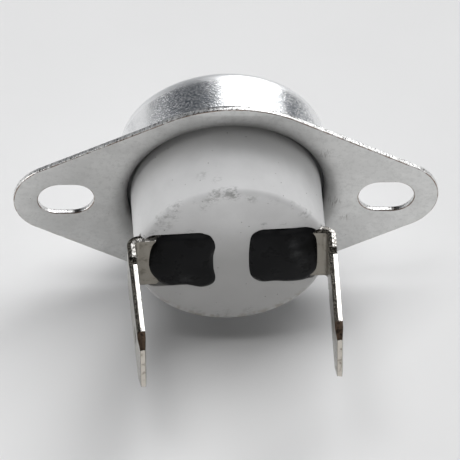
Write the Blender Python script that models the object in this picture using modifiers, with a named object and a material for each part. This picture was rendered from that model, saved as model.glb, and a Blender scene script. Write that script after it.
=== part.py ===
"""High-limit thermostat: a snap disc in a drawn flanged cap, closed by a ceramic base with two tabs.

Everything is modelled upright: the sensing face lies at height 0 and the tabs point up.
The mounting frame empty then lays the whole part down, so that the sensing face looks
along +Y, the tabs point along -Y, the flange lies along X and +Z is up.
"""
import bmesh
import bpy
from math import acos, cos, pi, radians, sin, sqrt, tan

MM = 0.001

# drawn cap, one sheet of aluminium
CAP_RADIUS = 10.0 * MM
CAP_DEPTH = 7.8 * MM
SHEET = 0.5 * MM
CAP_CORNER = 1.3 * MM
ROOT_RADIUS = 0.8 * MM
BEAD_WIDTH = 1.6 * MM
BEAD_DEPTH = 0.6 * MM

# flange of the cap, from the wall outwards
FLANGE_RIM = 2.5 * MM
SLOT_INSET = 2.0 * MM
SLOT_LENGTH = 5.4 * MM
SLOT_WIDTH = 4.0 * MM
LOBE_END_MARGIN = 2.35 * MM
LOBE_SIDE_MARGIN = 2.6 * MM

# clearance between pieces that touch in the real product
GAP = 0.3 * MM

# bimetal disc and the ceramic guide that cages it
DISC_THICKNESS = 0.3 * MM
DISC_DISH = 0.5 * MM
SNAP_TRAVEL = 0.45 * MM
SKIRT_THICKNESS = 0.5 * MM
SEAT_WIDTH = 1.0 * MM
SEAT_STEP = 0.3 * MM
GUIDE_RIM = 0.95 * MM
REGISTER_HEIGHT = 0.6 * MM
HUB_HEIGHT = 0.7 * MM
HUB_WALL = 0.6 * MM
PIN_RADIUS = 1.0 * MM
PIN_CHAMFER = 0.2 * MM

# ceramic base
BODY_RISE = 7.6 * MM
BODY_TURN = radians(3.7)
BASE_WALL = 1.9 * MM
BASE_FILLET = 0.6 * MM
END_WALL = 2.1 * MM
POCKET_DEPTH = 2.05 * MM
POCKET_END_ROOM = 0.5 * MM
POCKET_RIM = 0.9 * MM
POCKET_MARGIN = 0.55 * MM
POCKET_CORNER = 1.0 * MM

# terminals, standard 6.3 x 0.8 tabs
TAB_WIDTH = 6.3 * MM
TAB_THICKNESS = 0.8 * MM
TAB_RISE = 13.5 * MM
TAB_PROUD = 0.25 * MM
LEFT_LEAN = radians(1.7)
RIGHT_LEAN = radians(0.75)
BEND_RADIUS = 0.4 * MM
JOGGLE_RUN = 1.0 * MM
TIP_TAPER_LENGTH = 1.95 * MM
TIP_TAPER = 0.45 * MM
TIP_THIN_LENGTH = 1.3 * MM
TIP_THICKNESS = 0.5 * MM
NOTCH_RISE = 2.6 * MM
NOTCH_RADIUS = 0.5 * MM
LATCH_HOLE_RADIUS = 0.85 * MM
LATCH_HOLE_FROM_TIP = 4.2 * MM

# rivets through the base
SHANK_RADIUS = 0.75 * MM
HEAD_RADIUS = 1.7 * MM
HEAD_HEIGHT = 0.45 * MM
CLINCH_RADIUS = 1.4 * MM
CLINCH_HEIGHT = 0.5 * MM
SHANK_BORE_RADIUS = 0.4 * MM

# contact arm, its backing plate, the bracket and the two contacts
ARM_THICKNESS = 0.3 * MM
ARM_ROOT_WIDTH = 3.8 * MM
ARM_TIP_WIDTH = 2.8 * MM
ARM_STEP_RUN = 1.2 * MM
BACKING_THICKNESS = 0.4 * MM
BACKING_WIDTH = 3.4 * MM
BRACKET_THICKNESS = 0.5 * MM
BRACKET_WIDTH = 3.2 * MM
BRACKET_BEND = 0.2 * MM
CONTACT_RADIUS = 1.1 * MM
CONTACT_HEIGHT = 0.55 * MM
CONTACT_SHANK = 0.35 * MM
CONTACT_TAIL_RADIUS = 0.8 * MM
CONTACT_TAIL_HEIGHT = 0.3 * MM

# black resin over the rivets
SEAL_PROUD = 0.8 * MM
SEAL_LAP = 0.24
SEAL_SPREAD = 0.1 * MM
SEAL_WAVE = 0.08 * MM
SEAL_ROUNDING = 0.2 * MM

# cuts run this far past the faces that they open
OVERRUN = 1.0 * MM

# heights above the sensing face, from the cap's floor upwards
DISC_BASE = SHEET + GAP
DISC_TOP = DISC_BASE + DISC_DISH + DISC_THICKNESS
SEAT_LEVEL = DISC_TOP + SNAP_TRAVEL + GAP
RIM_TOP = SEAT_LEVEL + GUIDE_RIM
REGISTER_TOP = RIM_TOP + REGISTER_HEIGHT
BASE_MOUTH = RIM_TOP + GAP
FIXED_TAIL_BASE = REGISTER_TOP + GAP
SHELF_BASE = FIXED_TAIL_BASE + CONTACT_TAIL_HEIGHT + GAP
FIXED_HEAD_BASE = SHELF_BASE + BRACKET_THICKNESS + GAP
FIXED_HEAD_TOP = FIXED_HEAD_BASE + CONTACT_HEIGHT
MOVING_HEAD_BASE = FIXED_HEAD_TOP + GAP
ARM_BASE = MOVING_HEAD_BASE + CONTACT_HEIGHT + GAP
PIN_BASE = DISC_BASE + DISC_THICKNESS + GAP
PIN_TOP = ARM_BASE - GAP

# heights from the flange upwards
FLANGE_SEAT = CAP_DEPTH - SHEET
BEAD_HEIGHT = FLANGE_SEAT - ROOT_RADIUS - BEAD_WIDTH / 2
END_FACE = CAP_DEPTH + BODY_RISE
POCKET_FLOOR = END_FACE - POCKET_DEPTH
CEILING = POCKET_FLOOR - END_WALL
FOOT_BASE = POCKET_FLOOR + GAP
FOOT_TOP = FOOT_BASE + TAB_THICKNESS
STRIP_TOP = END_FACE + TAB_PROUD
STRIP_BASE = STRIP_TOP - TAB_THICKNESS
TAB_TIP = END_FACE + TAB_RISE
HEAD_BASE = FOOT_TOP + GAP
ARM_FOOT_TOP = CEILING - GAP
ARM_FOOT_BASE = ARM_FOOT_TOP - ARM_THICKNESS
BACKING_TOP = ARM_FOOT_BASE - GAP
BACKING_BASE = BACKING_TOP - BACKING_THICKNESS
BRACKET_FOOT_BASE = CEILING - GAP - BRACKET_THICKNESS

# radii and offsets from the axis
FLANGE_RADIUS = CAP_RADIUS + FLANGE_RIM
SLOT_CENTRE = CAP_RADIUS + ROOT_RADIUS + SLOT_INSET + SLOT_LENGTH / 2
LOBE_REACH = SLOT_CENTRE + SLOT_LENGTH / 2 + LOBE_END_MARGIN
LOBE_RADIUS = SLOT_WIDTH / 2 + LOBE_SIDE_MARGIN
INNER_WALL = CAP_RADIUS - SHEET
BASE_RADIUS = INNER_WALL - GAP
SKIRT_INNER = INNER_WALL - (CAP_CORNER - SHEET) - SKIRT_THICKNESS
DISC_RADIUS = SKIRT_INNER - GAP
CAVITY_RADIUS = BASE_RADIUS - BASE_WALL
LEG_OUTER = sqrt((CAVITY_RADIUS - GAP) ** 2 - (BRACKET_WIDTH / 2) ** 2)
LEG_INNER = LEG_OUTER - BRACKET_THICKNESS
RIVET_OFFSET = LEG_INNER - GAP - CLINCH_RADIUS
SHANK_HOLE = SHANK_RADIUS + GAP
POCKET_OUTER = BASE_RADIUS - POCKET_RIM
POCKET_WIDTH = TAB_WIDTH + 2 * POCKET_MARGIN
FOOT_END = RIVET_OFFSET - HEAD_RADIUS - GAP
POCKET_INNER = FOOT_END - POCKET_END_ROOM
JOGGLE_START = RIVET_OFFSET + HEAD_RADIUS + GAP / 3

# facets
FINE = 56
MEDIUM = 36
SMALL = 18


def clear_scene():
    """Remove what the file holds."""
    for item in list(bpy.data.objects):
        bpy.data.objects.remove(item, do_unlink=True)


def new_collection(name):
    """Return a fresh collection linked to the scene."""
    group = bpy.data.collections.new(name)
    bpy.context.scene.collection.children.link(group)
    return group


def new_empty(name, parts, parent=None):
    """Return an empty that other objects are placed by."""
    empty = bpy.data.objects.new(name, None)
    empty.parent = parent
    parts.objects.link(empty)
    return empty


def material(name, colour, roughness, metallic):
    """Return a plain Principled material."""
    finish = bpy.data.materials.new(name)
    finish.use_nodes = True
    shader = finish.node_tree.nodes["Principled BSDF"]
    shader.inputs["Base Color"].default_value = (*colour, 1.0)
    shader.inputs["Roughness"].default_value = roughness
    shader.inputs["Metallic"].default_value = metallic
    finish.diffuse_color = (*colour, 1.0)
    return finish


def place(item, group, parent, finish=None, at=(0, 0, 0)):
    """Link an object, hang it on its parent and give it its material."""
    group.objects.link(item)
    item.parent = parent
    item.location = at
    if finish is not None:
        item.data.materials.append(finish)
    return item


def arc(centre, radius, start, end, steps):
    """Return the points of an arc in degrees, both ends included."""
    points = []
    for index in range(steps + 1):
        angle = radians(start + (end - start) * index / steps)
        points.append((centre[0] + radius * cos(angle), centre[1] + radius * sin(angle)))
    return points


def turned(name, profile, steps, closed=False):
    """Return a body turned about its own Z axis from (radius, height) points."""
    mesh = bpy.data.meshes.new(name)
    vertices = [(radius, 0, height) for radius, height in profile]
    edges = [(index, index + 1) for index in range(len(profile) - 1)]
    if closed:
        edges.append((len(profile) - 1, 0))
    mesh.from_pydata(vertices, edges, [])
    body = bpy.data.objects.new(name, mesh)
    screw = body.modifiers.new("turn", "SCREW")
    screw.steps = steps
    screw.render_steps = steps
    screw.use_merge_vertices = True
    screw.merge_threshold = 0.000001
    screw.use_smooth_shade = True
    return body


def prism(name, outline, low, high):
    """Return a solid between two heights over a closed outline in the XY plane."""
    curve = bpy.data.curves.new(name, "CURVE")
    curve.dimensions = "2D"
    curve.fill_mode = "BOTH"
    curve.extrude = (high - low) / 2
    spline = curve.splines.new("POLY")
    spline.points.add(len(outline) - 1)
    for point, (across, along) in zip(spline.points, outline):
        point.co = (across, along, 0, 1)
    spline.use_cyclic_u = True
    drawn = bpy.data.objects.new(name, curve)
    bpy.context.scene.collection.objects.link(drawn)
    depsgraph = bpy.context.evaluated_depsgraph_get()
    mesh = bpy.data.meshes.new_from_object(drawn.evaluated_get(depsgraph))
    bpy.data.objects.remove(drawn, do_unlink=True)
    bpy.data.curves.remove(curve)
    work = bmesh.new()
    work.from_mesh(mesh)
    bmesh.ops.remove_doubles(work, verts=work.verts, dist=0.000001)
    bmesh.ops.translate(work, verts=work.verts, vec=(0, 0, (low + high) / 2))
    bmesh.ops.recalc_face_normals(work, faces=work.faces)
    work.to_mesh(mesh)
    work.free()
    mesh.name = name
    return bpy.data.objects.new(name, mesh)


def side_prism(name, outline, width):
    """Return a solid of the given width over an outline of (across, height) points."""
    body = prism(name, outline, -width / 2, width / 2)
    for vertex in body.data.vertices:
        across, height, depth = vertex.co
        vertex.co = (across, -depth, height)
    return body


def front_prism(name, outline, near, far):
    """Return a solid between two X values over an outline of (width, height) points."""
    body = prism(name, outline, near, far)
    for vertex in body.data.vertices:
        width, height, across = vertex.co
        vertex.co = (across, width, height)
    return body


def cylinder(name, radius, low, high, at=(0, 0), steps=SMALL):
    """Return an upright cylinder between two heights."""
    mesh = bpy.data.meshes.new(name)
    work = bmesh.new()
    bmesh.ops.create_cone(work, cap_ends=True, segments=steps, radius1=radius,
                          radius2=radius, depth=high - low)
    bmesh.ops.translate(work, verts=work.verts, vec=(at[0], at[1], (low + high) / 2))
    work.to_mesh(mesh)
    work.free()
    return bpy.data.objects.new(name, mesh)


def rounded_rectangle(low, high, corner, steps=4):
    """Return the outline of a rectangle with rounded corners."""
    outline = []
    centres = [(high[0] - corner, high[1] - corner), (low[0] + corner, high[1] - corner),
               (low[0] + corner, low[1] + corner), (high[0] - corner, low[1] + corner)]
    for quarter, centre in enumerate(centres):
        outline += arc(centre, corner, 90 * quarter, 90 * quarter + 90, steps)
    return outline


class Bench:
    """The collections and empties that the pieces are placed by."""

    def __init__(self):
        self.parts = new_collection("high_limit_thermostat")
        self.cutters = new_collection("cutters")
        self.frame = new_empty("mounting_frame", self.parts)
        self.frame.rotation_euler = (pi / 2, 0, 0)
        self.base = new_empty("turned_base", self.parts, self.frame)
        self.base.rotation_euler = (0, 0, BODY_TURN)

    def cut(self, body, tool, operation="DIFFERENCE", parent=None, at=(0, 0, 0)):
        """Cut a body with a tool, which stays in the file as a wire guide."""
        place(tool, self.cutters, parent or self.base, at=at)
        tool.hide_render = True
        tool.display_type = "WIRE"
        boolean = body.modifiers.new(tool.name, "BOOLEAN")
        boolean.operation = operation
        boolean.solver = "EXACT"
        boolean.object = tool


def bead(radius, width, depth, upwards, steps=6):
    """Return the points of a rolled bead that dips inwards from a wall of the given radius."""
    points = []
    for index in range(steps + 1):
        share = index / steps
        dip = depth * (1 - cos(2 * pi * share)) / 2
        rise = width * (share - 0.5)
        points.append((radius - dip, BEAD_HEIGHT + (rise if upwards else -rise)))
    return points


def cap_profile():
    """Return the section of the drawn cap, with the blank still round and oversize."""
    blank = LOBE_REACH + 2 * MM
    corner = (CAP_RADIUS - CAP_CORNER, CAP_CORNER)
    root = (CAP_RADIUS + ROOT_RADIUS, FLANGE_SEAT - ROOT_RADIUS)
    inside = [(0, SHEET)]
    inside += arc(corner, CAP_CORNER - SHEET, -90, 0, 3)
    inside += bead(INNER_WALL, BEAD_WIDTH, BEAD_DEPTH, upwards=True)
    inside += arc(root, ROOT_RADIUS + SHEET, 180, 90, 4)[1:]
    outside = [(blank, CAP_DEPTH), (blank, FLANGE_SEAT)]
    outside += arc(root, ROOT_RADIUS, 90, 180, 3)[:-1]
    outside += bead(CAP_RADIUS, BEAD_WIDTH, BEAD_DEPTH, upwards=False)
    outside += arc(corner, CAP_CORNER, 0, -90, 4)
    outside += [(0, 0)]
    return inside + outside


def flange_outline():
    """Return the outline of the flange: a round middle drawn out by tangents into two lobes.

    Each arc has an odd number of facets, so no point falls on an axis.
    """
    centre = LOBE_REACH - LOBE_RADIUS
    lean = acos((FLANGE_RADIUS - LOBE_RADIUS) / centre) * 180 / pi
    outline = arc((centre, 0), LOBE_RADIUS, -lean, lean, 13)
    outline += arc((0, 0), FLANGE_RADIUS, lean, 180 - lean, 13)
    outline += arc((-centre, 0), LOBE_RADIUS, 180 - lean, 180 + lean, 13)
    outline += arc((0, 0), FLANGE_RADIUS, 180 + lean, 360 - lean, 13)
    return outline


def slot_outline(side):
    """Return the outline of one fixing slot."""
    reach = (SLOT_LENGTH - SLOT_WIDTH) / 2
    middle = side * SLOT_CENTRE
    outline = arc((middle + reach, 0), SLOT_WIDTH / 2, -90, 90, 9)
    outline += arc((middle - reach, 0), SLOT_WIDTH / 2, 90, 270, 9)
    return outline


def build_mounting_cap(bench, finish):
    """Draw the cap and its flange from one sheet, trim the flange and pierce its slots."""
    cap = turned("mounting_cap", cap_profile(), FINE)
    place(cap, bench.parts, bench.frame, finish)
    trim = prism("flange_trim", flange_outline(), -OVERRUN, CAP_DEPTH + OVERRUN)
    bench.cut(cap, trim, "INTERSECT", bench.frame)
    for name, side in (("slot_left", -1), ("slot_right", 1)):
        slot = prism(name, slot_outline(side), FLANGE_SEAT - OVERRUN, CAP_DEPTH + OVERRUN)
        bench.cut(cap, slot, parent=bench.frame)


def build_bimetal_disc(bench, finish):
    """Turn the dished disc, its middle lowest while it is cold."""
    steps = 5
    rim = [DISC_RADIUS * index / steps for index in range(steps + 1)]
    dish = [DISC_DISH * (radius / DISC_RADIUS) ** 2 for radius in rim]
    upper = [(radius, DISC_BASE + DISC_THICKNESS + rise) for radius, rise in zip(rim, dish)]
    lower = [(radius, DISC_BASE + rise) for radius, rise in zip(rim, dish)]
    disc = turned("bimetal_disc", upper + lower[::-1], MEDIUM)
    place(disc, bench.parts, bench.base, finish)


def build_pin_guide(bench, finish):
    """Turn the ceramic guide: a skirt round the disc, a seat for its rim and a hub for the pin."""
    bore = PIN_RADIUS + GAP
    hub = bore + HUB_WALL
    skirt_outer = INNER_WALL - GAP
    chamfer = CAP_CORNER - SHEET - GAP
    profile = [(bore, SEAT_LEVEL + SEAT_STEP), (bore, REGISTER_TOP + HUB_HEIGHT),
               (hub, REGISTER_TOP + HUB_HEIGHT), (hub, REGISTER_TOP),
               (CAVITY_RADIUS - GAP, REGISTER_TOP), (CAVITY_RADIUS - GAP, RIM_TOP),
               (skirt_outer, RIM_TOP), (skirt_outer, SHEET + GAP + chamfer),
               (skirt_outer - chamfer, SHEET + GAP), (SKIRT_INNER, SHEET + GAP),
               (SKIRT_INNER, SEAT_LEVEL), (SKIRT_INNER - SEAT_WIDTH, SEAT_LEVEL),
               (SKIRT_INNER - SEAT_WIDTH, SEAT_LEVEL + SEAT_STEP)]
    guide = turned("pin_guide", profile, MEDIUM, closed=True)
    place(guide, bench.parts, bench.base, finish)


def build_push_pin(bench, finish):
    """Turn the ceramic pin that carries the disc's snap to the contact arm."""
    length = PIN_TOP - PIN_BASE
    waist = PIN_RADIUS - PIN_CHAMFER
    profile = [(0, length), (waist, length), (PIN_RADIUS, length - PIN_CHAMFER),
               (PIN_RADIUS, PIN_CHAMFER), (waist, 0), (0, 0)]
    pin = turned("push_pin", profile, SMALL)
    place(pin, bench.parts, bench.base, finish, at=(0, 0, PIN_BASE))


def base_profile():
    """Return the section of the ceramic base, with the groove that the cap's bead locks into."""
    fillet = (BASE_RADIUS - BASE_FILLET, END_FACE - BASE_FILLET)
    profile = [(0, END_FACE)]
    profile += arc(fillet, BASE_FILLET, 90, 0, 3)
    profile += bead(BASE_RADIUS, BEAD_WIDTH + 2 * GAP, BEAD_DEPTH, upwards=False)
    profile += [(BASE_RADIUS, BASE_MOUTH), (CAVITY_RADIUS, BASE_MOUTH)]
    profile += [(CAVITY_RADIUS, CEILING), (0, CEILING)]
    return profile


def build_ceramic_base(bench, finish):
    """Turn the base, then sink its two rivet pockets, their channels and the rivet holes."""
    base = turned("ceramic_base", base_profile(), FINE)
    place(base, bench.parts, bench.base, finish)
    for name, side in (("left", -1), ("right", 1)):
        across = sorted((side * POCKET_INNER, side * POCKET_OUTER))
        half = POCKET_WIDTH / 2
        outline = rounded_rectangle((across[0], -half), (across[1], half), POCKET_CORNER)
        bench.cut(base, prism("pocket_" + name, outline, POCKET_FLOOR, END_FACE + OVERRUN))
        across = sorted((side * (POCKET_OUTER - POCKET_CORNER), side * (BASE_RADIUS + OVERRUN)))
        half = TAB_WIDTH / 2 + GAP
        outline = [(across[0], -half), (across[1], -half), (across[1], half), (across[0], half)]
        bench.cut(base, prism("channel_" + name, outline, STRIP_BASE - GAP, END_FACE + OVERRUN))
        hole = cylinder("rivet_hole_" + name, SHANK_HOLE, CEILING - OVERRUN,
                        POCKET_FLOOR + OVERRUN, (side * RIVET_OFFSET, 0))
        bench.cut(base, hole)


def terminal_section(lean):
    """Return the side view of a terminal: foot, joggle, strip, bend and leaning blade."""
    inner = BASE_RADIUS
    bend = (inner - BEND_RADIUS, STRIP_TOP + BEND_RADIUS)
    outer_bend = BEND_RADIUS + TAB_THICKNESS
    rise = TAB_TIP - bend[1]
    thin = (TAB_THICKNESS - TIP_THICKNESS) / 2
    shift = rise * tan(lean)
    neck = (rise - TIP_THIN_LENGTH) * tan(lean)
    neck_height = TAB_TIP - TIP_THIN_LENGTH
    section = [(FOOT_END, FOOT_BASE), (JOGGLE_START, FOOT_BASE),
               (JOGGLE_START + JOGGLE_RUN, STRIP_BASE)]
    section += arc(bend, outer_bend, -90, 0, 6)
    section += [(inner + TAB_THICKNESS - neck, neck_height),
                (inner + TAB_THICKNESS - thin - shift, TAB_TIP),
                (inner + thin - shift, TAB_TIP), (inner - neck, neck_height)]
    section += arc(bend, BEND_RADIUS, 0, -90, 3)
    section += [(JOGGLE_START + JOGGLE_RUN, STRIP_TOP), (JOGGLE_START, FOOT_TOP),
                (FOOT_END, FOOT_TOP)]
    return section


def terminal_front():
    """Return the front view of a terminal: straight sides, two stop notches and a tapered tip."""
    half = TAB_WIDTH / 2
    notch = END_FACE + NOTCH_RISE
    taper = TAB_TIP - TIP_TAPER_LENGTH
    left = [(-half, POCKET_FLOOR)]
    right = [(half, POCKET_FLOOR)]
    right += arc((half, notch), NOTCH_RADIUS, 270, 90, 6)
    right += [(half, taper), (half - TIP_TAPER, TAB_TIP)]
    mirrored = [(-width, height) for width, height in right[:0:-1]]
    return left + right + mirrored


def build_terminal(bench, finish, name, side):
    """Bend one terminal from strip, then trim its edges and pierce its two holes."""
    lean = LEFT_LEAN if side < 0 else RIGHT_LEAN
    section = [(side * across, height) for across, height in terminal_section(lean)]
    terminal = side_prism("terminal_" + name, section, TAB_WIDTH + OVERRUN)
    place(terminal, bench.parts, bench.base, finish)
    near, far = sorted((side * (FOOT_END - OVERRUN), side * (BASE_RADIUS + 2 * OVERRUN)))
    front = front_prism("terminal_edges_" + name, terminal_front(), near, far)
    bench.cut(terminal, front, "INTERSECT")
    rivet_hole = cylinder("foot_hole_" + name, SHANK_HOLE, POCKET_FLOOR, HEAD_BASE,
                          (side * RIVET_OFFSET, 0))
    bench.cut(terminal, rivet_hole)
    latch = arc((0, TAB_TIP - LATCH_HOLE_FROM_TIP), LATCH_HOLE_RADIUS, 0, 340, 17)
    near, far = sorted((side * (BASE_RADIUS - 2 * OVERRUN), side * (BASE_RADIUS + 2 * OVERRUN)))
    bench.cut(terminal, front_prism("latch_hole_" + name, latch, near, far))


def build_rivet(bench, finish, name, side, clinch_top):
    """Turn one semi-tubular rivet: head in the pocket, clinch under the piece that it holds."""
    clinch_base = clinch_top - CLINCH_HEIGHT
    head_top = HEAD_BASE + HEAD_HEIGHT
    bore_depth = 2 * CLINCH_HEIGHT
    profile = [(0, head_top), (HEAD_RADIUS * 0.7, head_top), (HEAD_RADIUS, HEAD_BASE + HEAD_HEIGHT / 2),
               (HEAD_RADIUS, HEAD_BASE), (SHANK_RADIUS, HEAD_BASE), (SHANK_RADIUS, clinch_top),
               (CLINCH_RADIUS, clinch_top), (CLINCH_RADIUS * 0.85, clinch_base),
               (SHANK_BORE_RADIUS, clinch_base), (SHANK_BORE_RADIUS, clinch_base + bore_depth),
               (0, clinch_base + bore_depth)]
    rivet = turned("rivet_" + name, profile, SMALL)
    place(rivet, bench.parts, bench.base, finish, at=(side * RIVET_OFFSET, 0, 0))


def build_contact_arm(bench, finish):
    """Bend the spring arm: foot under the left rivet, step down, blade to the contact."""
    foot = RIVET_OFFSET + CLINCH_RADIUS + GAP
    step = -RIVET_OFFSET + CLINCH_RADIUS + 1.5 * GAP
    tip = RIVET_OFFSET + CONTACT_RADIUS
    blade_top = ARM_BASE + ARM_THICKNESS
    lift = ARM_FOOT_BASE + ARM_THICKNESS / 2
    section = [(-foot, ARM_FOOT_BASE), (step, ARM_FOOT_BASE), (step + ARM_STEP_RUN, ARM_BASE),
               (tip, ARM_BASE), (tip, blade_top), (step + ARM_STEP_RUN + ARM_THICKNESS, blade_top),
               (step + ARM_THICKNESS, ARM_FOOT_TOP), (-foot, ARM_FOOT_TOP)]
    section = [(across + RIVET_OFFSET, height - lift) for across, height in section]
    arm = side_prism("contact_arm", section, ARM_ROOT_WIDTH + OVERRUN)
    pivot = (-RIVET_OFFSET, 0, lift)
    place(arm, bench.parts, bench.base, finish, at=pivot)
    root, end = ARM_ROOT_WIDTH / 2, ARM_TIP_WIDTH / 2
    shoulder = step + ARM_STEP_RUN
    plan = [(-foot, -root), (shoulder, -root), (tip - end, -end)]
    plan += arc((tip - end, 0), end, -60, 60, 6)
    plan += [(tip - end, end), (shoulder, root), (-foot, root)]
    bench.cut(arm, prism("arm_plan", plan, ARM_BASE - OVERRUN, CEILING), "INTERSECT")
    bench.cut(arm, cylinder("arm_rivet_hole", SHANK_HOLE, BACKING_TOP, CEILING, (-RIVET_OFFSET, 0)))
    bench.cut(arm, cylinder("arm_contact_hole", CONTACT_SHANK + GAP, ARM_BASE - OVERRUN,
                            blade_top + OVERRUN, (RIVET_OFFSET, 0), 12))


def build_arm_backing(bench, finish):
    """Cut the stiff plate that spreads the clinch over the foot of the thin arm."""
    half = BACKING_WIDTH / 2
    reach = CLINCH_RADIUS + GAP / 3
    outline = rounded_rectangle((-RIVET_OFFSET - reach, -half), (-RIVET_OFFSET + reach, half), 2 * GAP, 3)
    plate = prism("arm_backing_plate", outline, BACKING_BASE, BACKING_TOP)
    place(plate, bench.parts, bench.base, finish)
    bench.cut(plate, cylinder("backing_hole", SHANK_HOLE, BACKING_BASE - OVERRUN,
                              BACKING_TOP + OVERRUN, (-RIVET_OFFSET, 0)))


def build_contact_bracket(bench, finish):
    """Bend the stiff bracket: foot at the right rivet, leg down the wall, shelf for the contact."""
    inner_end = RIVET_OFFSET - CLINCH_RADIUS
    top = CEILING - GAP
    bottom = SHELF_BASE
    outer_bend = BRACKET_BEND + BRACKET_THICKNESS
    outer, inner = LEG_OUTER, LEG_INNER
    section = [(inner_end, top)]
    section += arc((outer - outer_bend, top - outer_bend), outer_bend, 90, 0, 3)
    section += arc((outer - outer_bend, bottom + outer_bend), outer_bend, 0, -90, 3)
    section += [(inner_end, bottom), (inner_end, bottom + BRACKET_THICKNESS)]
    section += arc((inner - BRACKET_BEND, bottom + outer_bend), BRACKET_BEND, -90, 0, 2)
    section += arc((inner - BRACKET_BEND, top - outer_bend), BRACKET_BEND, 0, 90, 2)
    section += [(inner_end, top - BRACKET_THICKNESS)]
    bracket = side_prism("contact_bracket", section, BRACKET_WIDTH)
    place(bracket, bench.parts, bench.base, finish)
    bench.cut(bracket, cylinder("bracket_rivet_hole", SHANK_HOLE, BRACKET_FOOT_BASE - OVERRUN,
                                CEILING, (RIVET_OFFSET, 0)))
    bench.cut(bracket, cylinder("bracket_contact_hole", CONTACT_SHANK + GAP, bottom - OVERRUN,
                                bottom + BRACKET_THICKNESS + GAP, (RIVET_OFFSET, 0), 12))


def contact_profile(held_thickness):
    """Return the section of a contact rivet, its crown facing down and its tail on top."""
    tail = CONTACT_HEIGHT + 2 * GAP + held_thickness
    crown = 0.75 * CONTACT_RADIUS
    return [(0, tail + CONTACT_TAIL_HEIGHT), (CONTACT_TAIL_RADIUS, tail + CONTACT_TAIL_HEIGHT),
            (CONTACT_TAIL_RADIUS, tail), (CONTACT_SHANK, tail), (CONTACT_SHANK, CONTACT_HEIGHT),
            (CONTACT_RADIUS, CONTACT_HEIGHT), (CONTACT_RADIUS, CONTACT_HEIGHT * 0.3), (crown, 0), (0, 0)]


def build_contacts(bench, finish):
    """Turn the moving contact on the arm and the fixed contact on the bracket's shelf."""
    moving = turned("moving_contact", contact_profile(ARM_THICKNESS), 16)
    place(moving, bench.parts, bench.base, finish, at=(RIVET_OFFSET, 0, MOVING_HEAD_BASE))
    fixed = turned("fixed_contact", contact_profile(BRACKET_THICKNESS), 16)
    place(fixed, bench.parts, bench.base, finish, at=(RIVET_OFFSET, 0, FIXED_HEAD_TOP))
    fixed.rotation_euler = (pi, 0, 0)


def seal_outline(side):
    """Return the slightly wavy rim that the resin sets to round its pocket."""
    low = (POCKET_INNER * (1 - SEAL_LAP), -POCKET_WIDTH / 2 - SEAL_SPREAD)
    high = (POCKET_OUTER, POCKET_WIDTH / 2 + SEAL_SPREAD)
    outline = []
    for across, along in rounded_rectangle(low, high, 1.6 * POCKET_CORNER, 6):
        wave = SEAL_WAVE * sin(3 * along / high[1] + 2.0 * across / high[0])
        outline.append((side * (across + wave), along - wave))
    return outline


def build_seal(bench, finish, name, side):
    """Pour the resin over one rivet: a plug in the pocket under a low proud pad."""
    seal = prism("seal_" + name, seal_outline(side), END_FACE + GAP, END_FACE + SEAL_PROUD)
    place(seal, bench.parts, bench.base, finish)
    rounding = seal.modifiers.new("rounding", "BEVEL")
    rounding.width = SEAL_ROUNDING
    rounding.segments = 2
    rounding.limit_method = "ANGLE"
    rounding.angle_limit = radians(50)
    half = POCKET_WIDTH / 2 - GAP
    across = sorted((side * (POCKET_INNER + GAP), side * (JOGGLE_START - GAP)))
    outline = rounded_rectangle((across[0], -half), (across[1], half), POCKET_CORNER)
    plug = prism("seal_plug_" + name, outline, HEAD_BASE, END_FACE + 1.5 * GAP)
    bench.cut(seal, plug, "UNION")
    over_head = HEAD_BASE + HEAD_HEIGHT + GAP
    bench.cut(seal, cylinder("head_room_" + name, HEAD_RADIUS + GAP, HEAD_BASE - OVERRUN, over_head,
                             (side * RIVET_OFFSET, 0)))
    across = sorted((side * (JOGGLE_START - GAP), side * (BASE_RADIUS + OVERRUN)))
    half = TAB_WIDTH / 2 + GAP
    outline = [(across[0], -half), (across[1], -half), (across[1], half), (across[0], half)]
    bench.cut(seal, prism("strip_room_" + name, outline, POCKET_FLOOR, STRIP_TOP + GAP))


def main():
    """Build the thermostat piece by piece, from the cap to the seals."""
    clear_scene()
    bench = Bench()
    aluminium = material("aluminium", (0.78, 0.78, 0.79), 0.35, 1.0)
    steatite = material("steatite", (0.80, 0.80, 0.78), 0.6, 0.0)
    build_mounting_cap(bench, aluminium)
    build_bimetal_disc(bench, material("bimetal", (0.62, 0.58, 0.52), 0.4, 1.0))
    build_pin_guide(bench, steatite)
    build_push_pin(bench, material("pin_ceramic", (0.88, 0.87, 0.84), 0.5, 0.0))
    build_ceramic_base(bench, material("base_ceramic", (0.82, 0.82, 0.80), 0.6, 0.0))
    plating = material("plated_strip", (0.72, 0.70, 0.66), 0.3, 1.0)
    brass = material("brass", (0.80, 0.66, 0.38), 0.35, 1.0)
    clinches = {-1: BACKING_BASE - GAP, 1: BRACKET_FOOT_BASE - GAP}
    for name, side in (("left", -1), ("right", 1)):
        build_terminal(bench, plating, name, side)
        build_rivet(bench, brass, name, side, clinches[side])
        build_seal(bench, material("resin_" + name, (0.02, 0.02, 0.02), 0.35, 0.0), name, side)
    build_contact_arm(bench, material("spring_copper", (0.75, 0.48, 0.30), 0.3, 1.0))
    build_arm_backing(bench, brass)
    build_contact_bracket(bench, brass)
    build_contacts(bench, material("silver", (0.90, 0.90, 0.88), 0.25, 1.0))
    bpy.context.view_layer.update()


if __name__ == "__main__":
    main()
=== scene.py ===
"""Studio scene of a high-limit thermostat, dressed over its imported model.

The pieces are drawn upright, in millimetres: the sensing face lies at height 0 and the tabs
point up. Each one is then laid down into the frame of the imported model.
"""
import logging
from collections.abc import Callable, Iterable, Sequence
from dataclasses import dataclass, field
from enum import Enum, IntEnum
from functools import partial
from math import acos, cos, degrees, pi, radians, sin, sqrt, tan

import bmesh
import bpy
from mathutils import Matrix, Quaternion, Vector, geometry


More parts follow.
